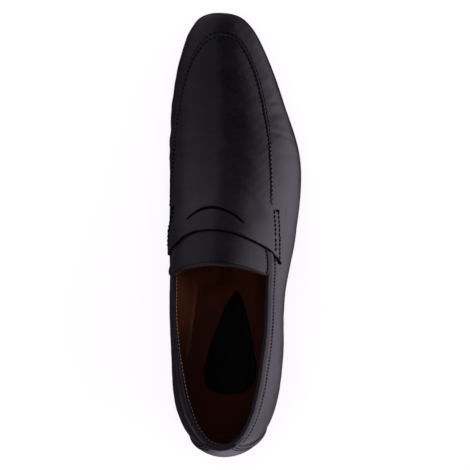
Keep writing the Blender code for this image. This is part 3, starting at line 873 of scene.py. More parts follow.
def buildUpper():
    # both halves as one ring of columns, its faces sorted into leather, strip, lining and painted shade under
    # the slot
    style = upperStyle
    throat = np.interp(lastForm["collarY"][-1], sectionColumn["ridgeY"], sectionColumn["share"])
    share = np.sort(np.append(np.linspace(0, 1, style["stations"]), throat))
    medial, medialShut = upperHalf(share, -1.0)
    lateral, lateralShut = upperHalf(share, 1.0)
    grid = np.concatenate([medial, lateral[-2:0:-1]], 0)
    shut = np.concatenate([medialShut, lateralShut[-2:0:-1]])
    columns, rows = grid.shape[:2]
    rimStart = sum(style[name] for name in skinBands) + 1
    rimEnd = rimStart + style["rimRows"]
    faces = gridFaces(columns, rows, wrapColumns=True, wrapRows=True)
    faceColumn = np.repeat(np.arange(columns), rows)
    faceRow = np.tile(np.arange(rows), columns)
    onRim = (faceRow >= rimStart - 1) & (faceRow < rimEnd)
    shutFace = shut[faceColumn] & shut[(faceColumn + 1) % columns]
    stripEnd = rimEnd + sum(mark < style["facing"] for mark in style["facingMarks"])
    onStrip = onRim | ((faceRow >= rimStart) & (faceRow < stripEnd))
    material = np.where(faceRow >= rimStart, 2, 0)
    material[onStrip & ~shutFace] = 1
    spot = grid.reshape(-1, 3)
    slotY, slotHalf = slotLine(spot[:, 0])
    nearSlot = (slotHalf > 0) & (abs(spot[:, 1] - slotY) < style["slotShade"])
    # painted shade on the wall seen through the saddle's slot
    material[(faceRow < rimStart - 1) & nearSlot] = 3
    keep = ~(onRim & shutFace)
    putPiece(
        "upper_leather", grid, faces[keep], [blackLeather, edgeLeather, tanLining, dyedEdgeAndShade],
        "black_leather", ["upper"], material[keep],
    )


buildUpper()


# Overlays: columns run from the inner to the outer side of the shoe

def sidesOf(across, share):
    # minus one in the columns of the inner side, one in those of the outer
    return np.where(across < 0, -1.0, 1.0)[:, None] * np.ones_like(share)


def endsAway(points, across):
    # distance from the first column on the inner side, from the last on the outer
    return np.where(across[:, None] < 0, size(points - points[:1]), size(points - points[-1:]))


# Tongue: a thin folded leather that fills the throat behind the saddle

tongueStyle = {
    "front": 156.5, "rearMiddle": 128.5, "rearSide": 122.5,
    "corner": 0.045, "round": 0.12, "thick": 1.7, "edgeRadius": 0.8,
    "clear": (-5.0, -0.3),  # from the collar on the inner side, where it laps over, and on the outer
    "lap": 1.5, "lapWide": 12.0, "lapY": (133.0, 126.0),
    "columns": 141, "rows": 72,
    "fold": 0.60, "foldHalf": 1.5,
    "stitch": 2.4, "stitchClear": 1.02, "groove": 0.30, "grooveHalf": 0.5,
    "sideRows": (0.35, 0.16),  # shares of the rows without side stitches, in front and behind
}


def tongueField():
    # across runs from side to side and back from the front end to the rear edge
    style = tongueStyle
    across = crowded(style["columns"])
    back = crowded(style["rows"], 0)
    front = shareAt(style["front"])
    rear = shareAt(style["rearMiddle"] + (style["rearSide"] - style["rearMiddle"]) * abs(across) ** 2)
    share = front + back[None, :] * (rear[:, None] - front)
    side = sidesOf(across, share)
    edge = collarUp(share, side)
    corner = style["corner"] * (1 - np.sqrt(1 - np.clip((back - 1) / style["round"] + 1, 0, 1) ** 2))
    clear = np.where(side < 0, *style["clear"])
    edge = edge + clear * upPerMm(share, side, edge) + corner[None, :]
    up = edge + (1 - edge) * (1 - abs(across))[:, None]
    points = lastPoint(share, side, up)
    away = np.minimum(size(points - points[:, -1:]), endsAway(points, across))
    lapStart, lapFull = style["lapY"]
    lap = style["lap"] * bell(np.clip(size(points - points[:1]) / style["lapWide"], 0, 1))
    lap = lap * np.clip((featherY(share) - lapStart) / (lapFull - lapStart), 0, 1)
    return share, side, up, away, lap


def tongueLift(away):
    # folded edge that stands up a little, then the trench of the stitch row
    style = tongueStyle
    fold = style["fold"] * bell((away - style["foldHalf"]) / style["foldHalf"])
    return fold - style["groove"] * dip(away - style["stitch"], style["grooveHalf"])


def buildTongue():
    # outer and inner sheet off the last, their edges turned in as a quarter circle
    style = tongueStyle
    share, side, up, away, lap = tongueField()
    turned = style["edgeRadius"] * (1 - rounded(away, style["edgeRadius"]))
    outer = offLast(share, side, up, lap + tongueLift(away) - turned)
    inner = offLast(share, side, up, lap + turned - style["thick"])
    points, faces = solidBetween(outer, inner)
    count = (style["columns"] - 1) * (style["rows"] - 1)
    material = np.zeros(len(faces))
    material[count:2 * count] = 1
    materials = [tongueLeather, tanLining]
    putPiece("tongue_leather", points, faces, materials, "black_leather", ["tongue"], material)


buildTongue()


# Saddle: strap over the instep with the crescent slot, thinned to nothing at its front

def saddleEdges(across):
    # y of the front and of the rear edge
    return [spline(saddleStyle["across"], saddleStyle[edge], across) for edge in ("front", "rear")]


def saddleSurface(across, depth):
    # share, side and up of points across the strap, depth 0 at the front edge and 1 at the rear
    front, rear = saddleEdges(across)
    share = shareAt(front[:, None] + depth * (rear - front)[:, None])
    up = (1 - (1 - saddleStyle["end"]) * abs(across))[:, None] * np.ones_like(share)
    return share, sidesOf(across, share), up


def slotDepths(across):
    # where each column of the strap crosses the slot's line, and the half width of the slot there
    fine = np.linspace(0, 1, saddleStyle["searchRows"])
    points = lastPoint(*saddleSurface(across, np.repeat(fine[None], len(across), 0)))
    y, half = slotLine(points[..., 0])
    ahead = points[..., 1] - y
    k = np.clip(np.argmax(ahead < 0, axis=1), 1, len(fine) - 1)
    rows = np.arange(len(across))
    before, after = ahead[rows, k - 1], ahead[rows, k]
    step = fine[k] - fine[k - 1]
    crossed = (before > 0) & (after < 0)
    middle = fine[k - 1] + step * np.clip(before / (before - after), 0, 1)
    wide = np.where(crossed, half[rows, k], 0.0)
    middle = np.where(crossed, middle, saddleStyle["split"])
    return middle, wide * step / (before - after), wide / (saddleStyle["slotWidth"] / 2)


def saddleThick(depth):
    # smooth step from the skived front edge to the full leather
    style = saddleStyle
    grown = np.clip(depth / style["skive"], 0, 1)
    return style["frontThick"] + (style["thick"] - style["frontThick"]) * grown * grown * (3 - 2 * grown)


def buildSaddle():
    # rows in front of the slot and behind it, each lip with a wall of its own
    style = saddleStyle
    across = crowded(style["columns"])
    middle, half, openness = slotDepths(across)
    frontLip = (middle - half)[:, None]
    rearLip = (middle + half)[:, None]
    frontPart = crowded(style["frontRows"], 0)
    rearPart = crowded(style["rearRows"]) / 2 + 0.5
    depth = np.concatenate([frontLip * frontPart, rearLip + (1 - rearLip) * rearPart], 1)
    share, side, up = saddleSurface(across, depth)
    points = lastPoint(share, side, up)
    cut = style["frontRows"]
    lip = np.concatenate([
        size(points[:, :cut] - points[:, cut - 1:cut]), size(points[:, cut:] - points[:, cut:cut + 1]),
    ], 1)
    rear = size(points - points[:, -1:])
    ends = endsAway(points, across)
    shape = np.minimum(rounded(rear, style["edgeRadius"]), rounded(ends, style["edgeRadius"]))
    shape = shape * (1 - openness[:, None] * (1 - rounded(lip, style["edgeRadius"])))
    swell = style["edgeThick"] + (1 - style["edgeThick"]) * shape
    outer = offLast(share, side, up, style["seat"] + saddleThick(depth) * swell)
    inner = offLast(share, side, up, np.full(share.shape, style["seat"]))
    pointsAll, faces = solidBetween(outer, inner)
    columns, rows = share.shape
    count = columns * rows
    # the strip between the two lips is left open
    sheetRow = np.tile(np.arange(rows - 1), columns - 1)
    rimRow = np.sort(faces[2 * len(sheetRow):, :2] % rows, axis=1)
    slit = np.concatenate([sheetRow == cut - 1, sheetRow == cut - 1, (rimRow == (cut - 1, cut)).all(1)])
    i = np.arange(columns - 1)
    opened = (openness[:-1] > 0) | (openness[1:] > 0)
    walls = []
    for row in (cut - 1, cut):
        a, b = i * rows + row, (i + 1) * rows + row
        walls.append(np.stack([a, b, count + b, count + a], -1)[opened])
    # cut edges are dyed, and darkened beyond the leather as painted shade: the rear edge, the two ends, the
    # lips of the slot and what lies under them
    onLip = (lip < style["lipDyeAndShade"]) & (openness[:, None] > 0)
    dyedAndShaded = ((rear < style["dyeAndShade"]) | (ends < style["dyeAndShade"] / 2) | onLip)[:-1, :-1].reshape(-1)
    dyedAndShaded = np.concatenate([dyedAndShaded, np.ones(len(faces) - len(dyedAndShaded), bool)])[~slit]
    dyeAndShade = np.concatenate([dyedAndShaded] + [np.ones(len(wall), bool) for wall in walls])
    faces = np.concatenate([faces[~slit]] + walls)
    putPiece("saddle_strap", pointsAll, faces, [blackLeather, dyedEdgeAndShade], "black_leather", ["saddle"], dyeAndShade)


buildSaddle()


# Back counter: patch around the heel, cut from the same surface one leather further out

counterStyle = {
    "height": (0.0, 0.4, 0.6, 0.8, 1.0), "share": (0.135, 0.106, 0.088, 0.074, 0.066),
    "foot": 0.02, "seat": 0.08, "thick": 1.5, "edgeThick": 0.3, "edgeRadius": 0.8,
    "columns": 121, "rows": 80,
    "stitches": (1.7, 3.6), "groove": 0.18, "grooveHalf": 0.5,
}


def counterField(across, height):
    # share grows to the edge, up from the foot to the collar
    style = counterStyle
    share = abs(across)[:, None] * spline(style["height"], style["share"], height)[None, :]
    side = sidesOf(across, share)
    up = style["foot"] + (collarUp(share, side) - style["foot"]) * height[None, :]
    return share, side, up


def buildCounter():
    # one leather thick, rounded at its edges, with two trenches for the stitches
    style = counterStyle
    across = crowded(style["columns"])
    share, side, up = counterField(across, crowded(style["rows"]) / 2 + 0.5)
    points = lastPoint(share, side, up)
    sideAway = endsAway(points, across)
    topAway = size(points - points[:, -1:])
    shape = np.minimum(rounded(sideAway, style["edgeRadius"]), rounded(topAway, style["edgeRadius"]))
    trench = sum(dip(sideAway - off, style["grooveHalf"]) for off in style["stitches"])
    thick = style["thick"] * (style["edgeThick"] + (1 - style["edgeThick"]) * shape)
    outer = offLast(share, side, up, style["seat"] + thick - style["groove"] * trench)
    inner = offLast(share, side, up, np.full(share.shape, style["seat"]))
    points, faces = solidBetween(outer, inner)
    putPiece("counter_patch", points, faces, [blackLeather], "black_leather", ["back_counter"])


buildCounter()


# Stitches

threadStyle = {
    "apron": {"pitch": 3.0, "fill": 0.62, "radius": 0.48, "sink": 0.28, "arch": 0.14},
    "collar": {"pitch": 2.3, "fill": 0.72, "radius": 0.44, "sink": 0.24, "arch": 0.10},
    "tongue": {"pitch": 2.3, "fill": 0.60, "radius": 0.50, "sink": 0.28, "arch": 0.12},
    "saddle": {"pitch": 2.6, "fill": 0.84, "radius": 0.54, "sink": 0.16, "arch": 0.18},
    "saddleOuter": {"pitch": 2.6, "fill": 0.97, "radius": 0.46, "sink": 0.10, "arch": 0.16},
    "saddleEnd": {"pitch": 2.6, "fill": 0.97, "radius": 0.95, "sink": 0.30, "arch": 0.20},
    "counter": {"pitch": 2.3, "fill": 0.64, "radius": 0.40, "sink": 0.22, "arch": 0.10},
    "lining": {"pitch": 2.5, "fill": 0.66, "radius": 0.50, "sink": 0.14, "arch": 0.20},
}
# Where the rows start, and how finely their paths are worked out
rowStyle = {
    "apronStart": 1.2, "apronPoints": 400,
    "collarFrom": 133.0, "collarPoints": 420, "counterClear": 0.012,
    "saddlePoints": 40,
    "counterHeight": (0.03, 0.985), "counterPoints": 160, "counterStep": 0.002,
}


def bothSides(first, last, count):
    # share and side along the outer side and back along the inner
    half = np.linspace(first, last, count)
    share = np.concatenate([half, half[-2::-1]])
    return share, np.concatenate([np.ones(count), -np.ones(count - 1)])


def buildApronStitches():
    # one row on either side of the seam, around the toe, half a pitch apart
    rows = []
    for sign, shift in ((-1, 0.0), (1, threadStyle["apron"]["pitch"] / 2)):
        start = shareAt(upperStyle["seamFrom"] + rowStyle["apronStart"] + shift)
        share, side = bothSides(start, 1, rowStyle["apronPoints"])
        seam = apronUp(share, side)
        off = sign * seamRow(share)
        up = seam + off * upPerMm(share, side, seam)
        path, normal = raised(share, side, up, seamLift(share, off))
        path = path + normal * (creaseLift(path) + lastingLift(path))[..., None]
        rows.append(stitchRow(path, normal, threadStyle["apron"]))
    putPiece("apron_stitches", *joined(rows), [blackThread], "black_leather")


def buildCollarStitches():
    # a row below the rolled edge on either side, from the throat to the counter
    style = upperStyle
    share, side = bothSides(shareAt(rowStyle["collarFrom"]), 0, rowStyle["collarPoints"])
    top = collarUp(share, side)
    up = top - style["collarStitch"] * upPerMm(share, side, top)
    lift = collarLift(share, np.full(len(share), style["collarStitch"]))
    path, normal = raised(share, side, up, lift)
    clear = featherY(share) > featherY(counterStyle["share"][3] + rowStyle["counterClear"])
    rows = []
    for keep in (clear & (side > 0), clear & (side < 0)):
        rows.append(stitchRow(path[keep], normal[keep], threadStyle["collar"]))
    putPiece("collar_stitches", *joined(rows), [blackThread], "black_leather")
    # the inner row lies on the padded strip, just above its lower edge
    rows = []
    for sign in (1.0, -1.0):
        half = share[side == sign]
        sides = np.full(len(half), sign)
        top = collarUp(half, sides)
        down = np.full(len(half), style["facing"] - style["liningStitch"])
        up = top - down * upPerMm(half, sides, top)
        path, normal = raised(half, sides, up, -style["wall"] - facingSwell(half, sign, down))
        rows.append(stitchRow(path, -normal, threadStyle["lining"]))
    putPiece("lining_stitches", *joined(rows), [tanThread], "tan_leather")


def buildTongueStitches():
    # parallel to the rear edge and up the two sides, read from the tongue's own distance field
    style = tongueStyle
    share, side, up, away, lap = tongueField()
    columns, rows = away.shape

    def rowAlong(i, j):
        path, normal = raised(share[i, j], side[i, j], up[i, j], lap[i, j] - style["groove"])
        return stitchRow(path, normal, threadStyle["tongue"])

    i = np.flatnonzero(away[:, rows // 2] > style["stitch"] * style["stitchClear"])
    parts = [rowAlong(i, rows - 1 - np.argmax(away[i, ::-1] > style["stitch"], axis=1))]
    front, rear = (int(rows * part) for part in style["sideRows"])
    j = np.arange(front, rows - rear)
    parts.append(rowAlong(np.argmax(away[:, j] > style["stitch"], axis=0), j))
    parts.append(rowAlong(columns - 1 - np.argmax(away[::-1, j] > style["stitch"], axis=0), j))
    putPiece("tongue_stitches", *joined(parts), [blackThread], "black_leather")


# Saddle ends: rows of stitches as y along and share up, closed at the top and stepped half way down
saddleBox = (
    ("saddle", ((164.8, 0.534), (160.4, 0.530), (156.0, 0.525), (151.7, 0.521), (147.6, 0.517))),
    ("saddleOuter", ((164.4, 0.489), (160.4, 0.487), (156.0, 0.483), (151.7, 0.480), (147.2, 0.476))),
    ("saddleOuter", ((165.0, 0.536), (164.6, 0.488))),
    ("saddleEnd", ((164.5, 0.508), (164.1, 0.486))),
    ("saddleOuter", ((147.2, 0.477), (146.7, 0.458))),
    ("saddle", ((146.4, 0.512), (142.0, 0.501), (138.0, 0.491))),
    ("saddleOuter", ((146.4, 0.469), (142.0, 0.460), (137.8, 0.450), (132.6, 0.437))),
)
# The inner side sits further forward and lower, with finer stitches at its back
saddleInner = {
    "shift": 3.4, "from": 141.5, "drop": 0.055, "low": 0.405,
    "fineBehind": 152.0, "fine": {"radius": 0.34, "sink": 0.30, "arch": 0.0},
}


def buildSaddleStitches():
    # each row as a line through its points, lying on the strap
    rows = []
    t = np.linspace(0, 1, rowStyle["saddlePoints"])
    for side in (1.0, -1.0):
        for kind, line in saddleBox:
            y, up = np.array(line, float).T
            thread = threadStyle[kind]
            if side < 0:
                y = np.maximum(y + saddleInner["shift"], saddleInner["from"])
                up = np.maximum(up - saddleInner["drop"], saddleInner["low"])
                if y[0] < saddleInner["fineBehind"]:
                    thread = {**thread, **saddleInner["fine"]}
            even = np.linspace(0, 1, len(y))
            share = shareAt(np.interp(t, even, y))
            up = np.interp(t, even, up)
            front, rear = saddleEdges((1 - up) / (1 - saddleStyle["end"]) * side)
            depth = np.clip((featherY(share) - front) / (rear - front), 0, 1)
            path, normal = raised(share, side, up, saddleStyle["seat"] + saddleThick(depth))
            rows.append(stitchRow(path, normal, thread))
    putPiece("saddle_stitches", *joined(rows), [blackThread], "black_leather")


def buildCounterStitches():
    # two rows along each edge of the patch, moved in from it by their distance
    style = counterStyle
    rows = []
    step = rowStyle["counterStep"]
    height = np.linspace(*rowStyle["counterHeight"], rowStyle["counterPoints"])
    edge = spline(style["height"], style["share"], height)
    for side in (1.0, -1.0):
        up = style["foot"] + (collarUp(edge, np.full(len(edge), side)) - style["foot"]) * height
        perShare = size(lastPoint(edge, side, up) - lastPoint(edge - step, side, up)) / step
        for off in style["stitches"]:
            lift = style["seat"] + style["thick"] - style["groove"]
            path, normal = raised(edge - off / perShare, side, up, lift)
            rows.append(stitchRow(path, normal, threadStyle["counter"]))
    putPiece("counter_stitches", *joined(rows), [blackThread], "black_leather")


buildApronStitches()
buildCollarStitches()
buildTongueStitches()
buildSaddleStitches()
buildCounterStitches()


# Insole sock and heel pad

sockStyle = {
    "inset": 2.8, "thick": 2.4, "cup": 0.9, "cupHalf": 9.0, "stations": 320, "rows": 101,
    "touchUp": 0.04, "touchInset": 2.12,  # where its edge meets the lining
    "lineY": 11.0, "lineHalf": 0.45, "lineDepth": 0.5, "lineEdge": 1.0,  # seam across its back end
    "turnY": (60, 67, 90, 112, 128, 150),  # the lining turns in under it as far as this x
    "turnX": (-29.0, -26.5, -23.6, -21.8, -21.5, -24.0),
}


def slabPlan(medialShare, lateralShare, inset, rows, margin=0.0):
    # plan points between the two edges of the shoe, with their distance from the nearer edge
    medial = planEdge(medialShare, -1, margin - inset)
    lateral = planEdge(lateralShare, 1, margin - inset)
    part = crowded(rows) / 2 + 0.5
    plan = medial[:, None] + (lateral - medial)[:, None] * part[None, :, None]
    width = size(lateral - medial)[:, None]
    return plan, np.minimum(part, 1 - part)[None, :] * width, part


def buildSock():
    # slab on the sole, cupped up at its edge, with a fine seam at the back and along the turned lining
    style = sockStyle
    share = np.linspace(0, 1, style["stations"])
    plan, away, part = slabPlan(share, share, style["inset"], style["rows"])
    low = withHeight(plan, soleTop(plan[..., 1]) + lastForm["gap"])
    inner, outer = (offLast(share, side, style["touchUp"], -style["touchInset"]) for side in (-1, 1))
    wide = inner[:, None, :2] + (outer - inner)[:, None, :2] * part[None, :, None]
    cup = style["cup"] * bell(np.clip(away / style["cupHalf"], 0, 1))
    turn = np.interp(wide[..., 1], style["turnY"], style["turnX"]) - wide[..., 0]
    line = dip(wide[..., 1] - style["lineY"], style["lineHalf"]) * (away > style["lineEdge"])
    line = np.maximum(line, dip(turn, style["lineHalf"]))
    rise = style["thick"] + cup - style["lineDepth"] * line
    high = withHeight(wide, soleTop(wide[..., 1]) + lastForm["gap"] + rise)
    points, faces = solidBetween(high, low)
    onLining = turn[:-1, :-1].reshape(-1) > 0
    material = np.zeros(len(faces))
    material[:len(onLining)] = onLining
    putPiece("sock_leather", points, faces, [brownSock, tanLining], "tan_leather", ["insole"], material)


padStyle = {
    "ends": (38.2, 109.0), "middle": (0.3, 5.4), "half": 17.8, "widest": 0.265,
    "blunt": 4, "point": 0.68, "flank": 1.15,
    "thick": 1.6, "flat": 0.65, "bed": 0.3, "edgeRadius": 0.9,
    "stations": 140, "rows": 81, "fill": 0.75,
    "ripple": 0.17, "rippleEdge": 5.0,
    "broad": (0.62, 0.03, 0.8, 0.09),  # wave across, slant, sway and its pace
    "narrow": (0.6, 1.27, 0.05),  # share, wave across and slant
}


def buildPad():
    # teardrop: a round end towards the heel, drawn to a point towards the toe, gently domed
    style = padStyle
    t = (1 - np.cos(np.pi * np.linspace(0, 1, style["stations"]))) / 2
    behind = np.clip((style["widest"] - t) / style["widest"], 0, 1)
    ahead = np.clip((t - style["widest"]) / (1 - style["widest"]), 0, 1)
    half = style["half"] * np.sqrt(1 - behind ** style["blunt"])
    half = half * (1 - ahead ** style["flank"]) ** style["point"]
    part = crowded(style["rows"])
    middle, y = (style[name][0] + (style[name][1] - style[name][0]) * t for name in ("middle", "ends"))
    x = middle[:, None] + half[:, None] * part[None, :]
    y = np.repeat(y[:, None], len(part), 1)
    low = soleTop(y) + 2 * lastForm["gap"] + sockStyle["thick"] - style["bed"]
    away = (1 - abs(part))[None, :] * half[:, None]
    crown = (1 - part**2)[None, :] * (half / half.max())[:, None]
    dome = style["thick"] * (style["flat"] + (1 - style["flat"]) * crown)
    across, slant, sway, pace = style["broad"]
    share, acrossFine, slantFine = style["narrow"]
    wave = np.sin(x * across + slant * y + sway * np.sin(y * pace))
    wave = wave + share * np.sin(x * acrossFine - slantFine * y)
    ripple = style["ripple"] * wave * rounded(away, style["rippleEdge"])
    high = low + style["bed"] + (dome + ripple) * rounded(away, style["edgeRadius"])
    plan = np.stack([x, y], -1)
    points, faces = solidBetween(withHeight(plan, high), withHeight(plan, low))
    pad = putPiece("heel_cushion", points, faces, [padLeather], "pad_leather", ["heel_pad"])


buildSock()
buildPad()


# Sole: moulded tread with the panel groove, the line across the waist and the ribbed bands

soleStyle = {
    "stations": 430, "rows": 150, "margin": 0.8, "edgeRadius": 2.2, "wallRows": 6,
    "waistY": (84.0, 152.0), "waistBevel": 9.0, "waistRise": 1.1,
    "grooveDepth": 0.75, "grooveHalf": 0.62,
    "bandDepth": 0.55, "bandEdge": 7,
    "dense": ((96.0, 122.0, 44), (141.0, 158.0, 58)),  # from y to y, stations added for grooves across
}
# Groove lines on the underside, listed from heel or toe along each side
grooveLines = {
    "lateral": (
        (-4, 293.5), (4, 291), (10.3, 285.8), (19.3, 264.6), (29, 239.4), (38, 205.3), (41.2, 177.6),
        (39.3, 156.3), (32.2, 134.4), (21.3, 120.2), (3.9, 108.6), (-10.3, 101.5), (-17.4, 90), (-19.5, 82.5),
    ),
    "medial": (
        (-4, 293.5), (-11.6, 292), (-19.3, 285.8), (-29, 260.7), (-34.8, 233.6), (-38.4, 203),
        (-37.4, 185.3), (-33.5, 171.8), (-27.7, 156.9), (-21.5, 143.8),
    ),
    "step": ((34.2, 143.4), (25.1, 146.6), (16.1, 149.8), (3.9, 150.5), (-11.6, 147.3), (-21.5, 143.8)),
}
# Ribbed bands: centre line, half width and the pitch of the ribs
ribBands = {
    "toe": {
        "line": (
            (11.0, 267.8), (3.9, 280.7), (-0.6, 287.1), (-6.4, 288.4), (-11.6, 285.2), (-16.8, 277.5),
            (-20.6, 265.2),
        ),
        "half": 1.5, "pitch": 1.05,
    },
    "ball": {
        "line": ((35.4, 147.6), (22.0, 152.8), (8.4, 154.6), (-5.0, 153.4), (-20.6, 147.6)),
        "half": 2.0, "pitch": 1.1,
    },
    "breast": {"line": ((29.0, 79.4), (4.0, 81.6), (-17.5, 85.0)), "half": 2.6, "pitch": 1.15},
}
ribStyle = {"points": 400, "step": 0.3, "reach": 0.92, "radius": 0.34, "sunk": 0.05}


def curveThrough(points, count=240):
    # smooth line through given points, by their running length
    points = np.array(points, float)
    run = running(points)
    at = np.linspace(0, run[-1], count)
    return np.stack([spline(run, points[:, k], at) for k in range(2)], -1)


def awayFrom(plan, line):
    # distance from each plan point to a line, taken station by station to save memory
    start, step = line[:-1], np.diff(line, axis=0)
    squared = (step**2).sum(1)
    near = np.empty(plan.shape[:2])
    for k, row in enumerate(plan):
        offset = row[:, None] - start
        along = np.clip((offset * step).sum(-1) / squared, 0, 1)
        near[k] = np.sqrt(((offset - along[..., None] * step) ** 2).sum(-1).min(1))
    return near


def soleRelief(plan):
    # how far the tread is cut into the sole: grooves as narrow blunt bells, bands as flat sinks
    style = soleStyle
    cut = np.zeros(plan.shape[:2])
    for line in grooveLines.values():
        away = awayFrom(plan, curveThrough(line)) / style["grooveHalf"]
        cut = np.maximum(cut, style["grooveDepth"] * np.exp(-(away**4)))
    for band in ribBands.values():
        away = awayFrom(plan, curveThrough(band["line"]))
        cut = np.maximum(cut, style["bandDepth"] / (1 + np.exp((away - band["half"]) * style["bandEdge"])))
    return cut


def buildSole():
    # each section runs along the bottom, up the outer wall, over the middle and down the inner wall
    style = soleStyle
    dense = [shareAt(np.linspace(*run)) for run in style["dense"]]
    share = np.unique(np.concatenate([np.linspace(0, 1, style["stations"])] + dense))
    plan, away, _ = slabPlan(share, share, 0.0, style["rows"], style["margin"])
    y = plan[..., 1]
    turned = style["edgeRadius"] * (1 - rounded(away, style["edgeRadius"]))
    waistFront, waistBack = style["waistY"]
    waist = bell((y - (waistFront + waistBack) / 2) / ((waistBack - waistFront) / 2))
    bevel = style["waistRise"] * waist * np.clip(1 - away / style["waistBevel"], 0, 1) ** 2
    bottom = withHeight(plan, underside(y) + np.maximum(turned, bevel) + soleRelief(plan))
    top = soleTop(y[:, [0, -1]])
    lift = np.linspace(0, 1, style["wallRows"] + 1)[1:]
    rise = lift[:, None]
    sink = lift[::-1, None]
    lateralWall = bottom[:, -1:] * (1 - rise) + withHeight(plan[:, -1:], top[:, 1:]) * rise
    medialWall = bottom[:, :1] * (1 - sink) + withHeight(plan[:, :1], top[:, :1]) * sink
    centre = (lateralWall[:, -1:] + medialWall[:, :1]) / 2
    section = np.concatenate([bottom, lateralWall, centre, medialWall], 1)
    faces = gridFaces(*section.shape[:2], wrapRows=True)
    putPiece("sole_tread", section, faces, [soleRubber], "sole_rubber", ["outsole"])


def buildRibs():
    # short round bars across each band, flush with the tread
    style = ribStyle
    rows = []
    for band in ribBands.values():
        line = curveThrough(band["line"], style["points"])
        run = running(line)
        at = np.arange(band["pitch"] / 2, run[-1], band["pitch"])
        centre = readAt(line, run, at)
        along = readAt(line, run, at + style["step"]) - readAt(line, run, at - style["step"])
        across = unit(np.stack([-along[:, 1], along[:, 0]], -1))
        reach = across * band["half"] * style["reach"]
        high = style["radius"] + style["sunk"]
        bars = [withHeight(p, underside(p[:, 1]) + high) for p in (centre - reach, centre, centre + reach)]
        rows.append(capsules(*bars, np.tile([0.0, 0.0, -1.0], (len(centre), 1)), style["radius"]))
    putPiece("tread_ribs", *joined(rows), [soleRubber], "sole_rubber")


buildSole()
buildRibs()


# Heel: block under the sole, front lift with its nail dimples, rear tip

heelStyle = {
    "breast": (81.0, 75.5), "hollow": 2.0, "tipLine": (28.0, 34.5), "joint": 0.08,
    "floor": 19.8, "lift": 6.0, "blockLow": 0.06, "blockHigh": 0.05,  # gaps under and over the block
    "insetTop": 0.2, "insetFloor": 1.4, "margin": 0.8,
    "edgeRadius": 0.9, "topRound": 0.3, "stations": 110, "rows": 111,
    "nails": ((25.1, 64.1), (25.8, 53.2), (24.5, 40.3), (-22.6, 69.9), (-26.4, 36.0)),
    "nailRadius": 1.25, "nailDepth": 0.6,
}


def heelPlan(fromY, toY, inset, hollow):
    # plan between two lines across the heel, each given at the medial and the lateral side
    style = heelStyle
    t = crowded(style["stations"]) / 2 + 0.5
    first, last = shareAt(fromY), shareAt(toY)
    medial, lateral = (first[k] + (last[k] - first[k]) * t for k in range(2))
    plan, away, part = slabPlan(medial, lateral, inset, style["rows"], style["margin"])
    plan[..., 1] -= hollow * 4 * (part * (1 - part))[None, :] * (t**4)[:, None]
    ends = size(plan - plan[-1:])
    if fromY[0] > lastForm["featherBack"]:
        ends = np.minimum(ends, size(plan - plan[:1]))
    return plan, np.minimum(away, ends)


def heelSlab(fromY, toY, insets, heights, hollow, dimples=()):
    # slab between two heights with rounded edges, sunk a little at each nail
    style = heelStyle
    planLow, away = heelPlan(fromY, toY, insets[0], hollow)
    planHigh, _ = heelPlan(fromY, toY, insets[1], hollow)
    turned = style["edgeRadius"] * (1 - rounded(away, style["edgeRadius"]))
    low = heights[0] + turned
    for nail in dimples:
        off = size(planLow - np.array(nail)) / style["nailRadius"]
        low = low + style["nailDepth"] * np.exp(-(off**4))
    high = heights[1] - style["topRound"] * turned
    return solidBetween(withHeight(planHigh, high), withHeight(planLow, low))


def buildHeel():
    # the block stands on the two pieces of the wearing layer, which meet at the tip's line
    style = heelStyle
    waist = (style["insetTop"] + style["insetFloor"]) / 2
    back = (lastForm["featherBack"],) * 2
    joint = tuple(y + style["joint"] for y in style["tipLine"])
    blockHeights = (style["lift"] + style["blockLow"], style["floor"] - style["blockHigh"])
    low = (style["insetFloor"], waist)
    lift = (0.0, style["lift"])
    block = heelSlab(back, style["breast"], (waist, style["insetTop"]), blockHeights, style["hollow"])
    putPiece("heel_stack", *block, [soleRubber], "sole_rubber", ["heel_block"])
    front = heelSlab(joint, style["breast"], low, lift, style["hollow"], style["nails"])
    putPiece("heel_front_lift", *front, [liftRubber], "lift_rubber", ["heel_lift"])
    tip = heelSlab(back, style["tipLine"], low, lift, 0.0)
    putPiece("heel_rear_tip", *tip, [liftRubber], "lift_rubber", ["heel_tip"])


buildHeel()


# Stage: pale floor, soft light from the outer side, camera over the shoe

stageStyle = {
    "floorHalf": 4.0,
    "floorDrop": 0.0002,
    "floorColour": (0.90, 0.90, 0.91, 1.0),
    "floorRoughness": 0.9,
    "floorGlow": 0.78,
    "wallRadius": 3.9,  # pale backdrop that only the camera sees
    "wallHeight": 4.0,
    "wallFoot": -0.01,
    "wallSides": 64,
    "wallGlow": 1.0,
    "black": (0, 0, 0, 1),
    "white": (1, 1, 1, 1),
    "target": (0.0036, -0.0018, 0.035),
    "tilt": 8.0,  # the camera leans to the outer side
    "lean": 1.1,  # and a little to the toe
    "roll": -0.1,
    "distance": 1.300,
    "lens": 146.5,
    "clip": (0.05, 50),
}


def putStage(name, points, faces, sockets, unseenBy, drop=0.0):
    # plain piece of the set, with even values on its shader
    mesh = bpy.data.meshes.new(name)
    mesh.from_pydata(points, [], faces)
    material = bpy.data.materials.new("pale" + name.capitalize())
    material.use_nodes = True
    shader = material.node_tree.nodes["Principled BSDF"]
    for socket, value in sockets.items():
        shader.inputs[socket].default_value = value
    mesh.materials.append(material)
    piece = bpy.data.objects.new(name, mesh)
    piece.location = (0, 0, -drop)
    for ray in unseenBy:
        setattr(piece, "visible_" + ray, False)
    bpy.context.scene.collection.objects.link(piece)


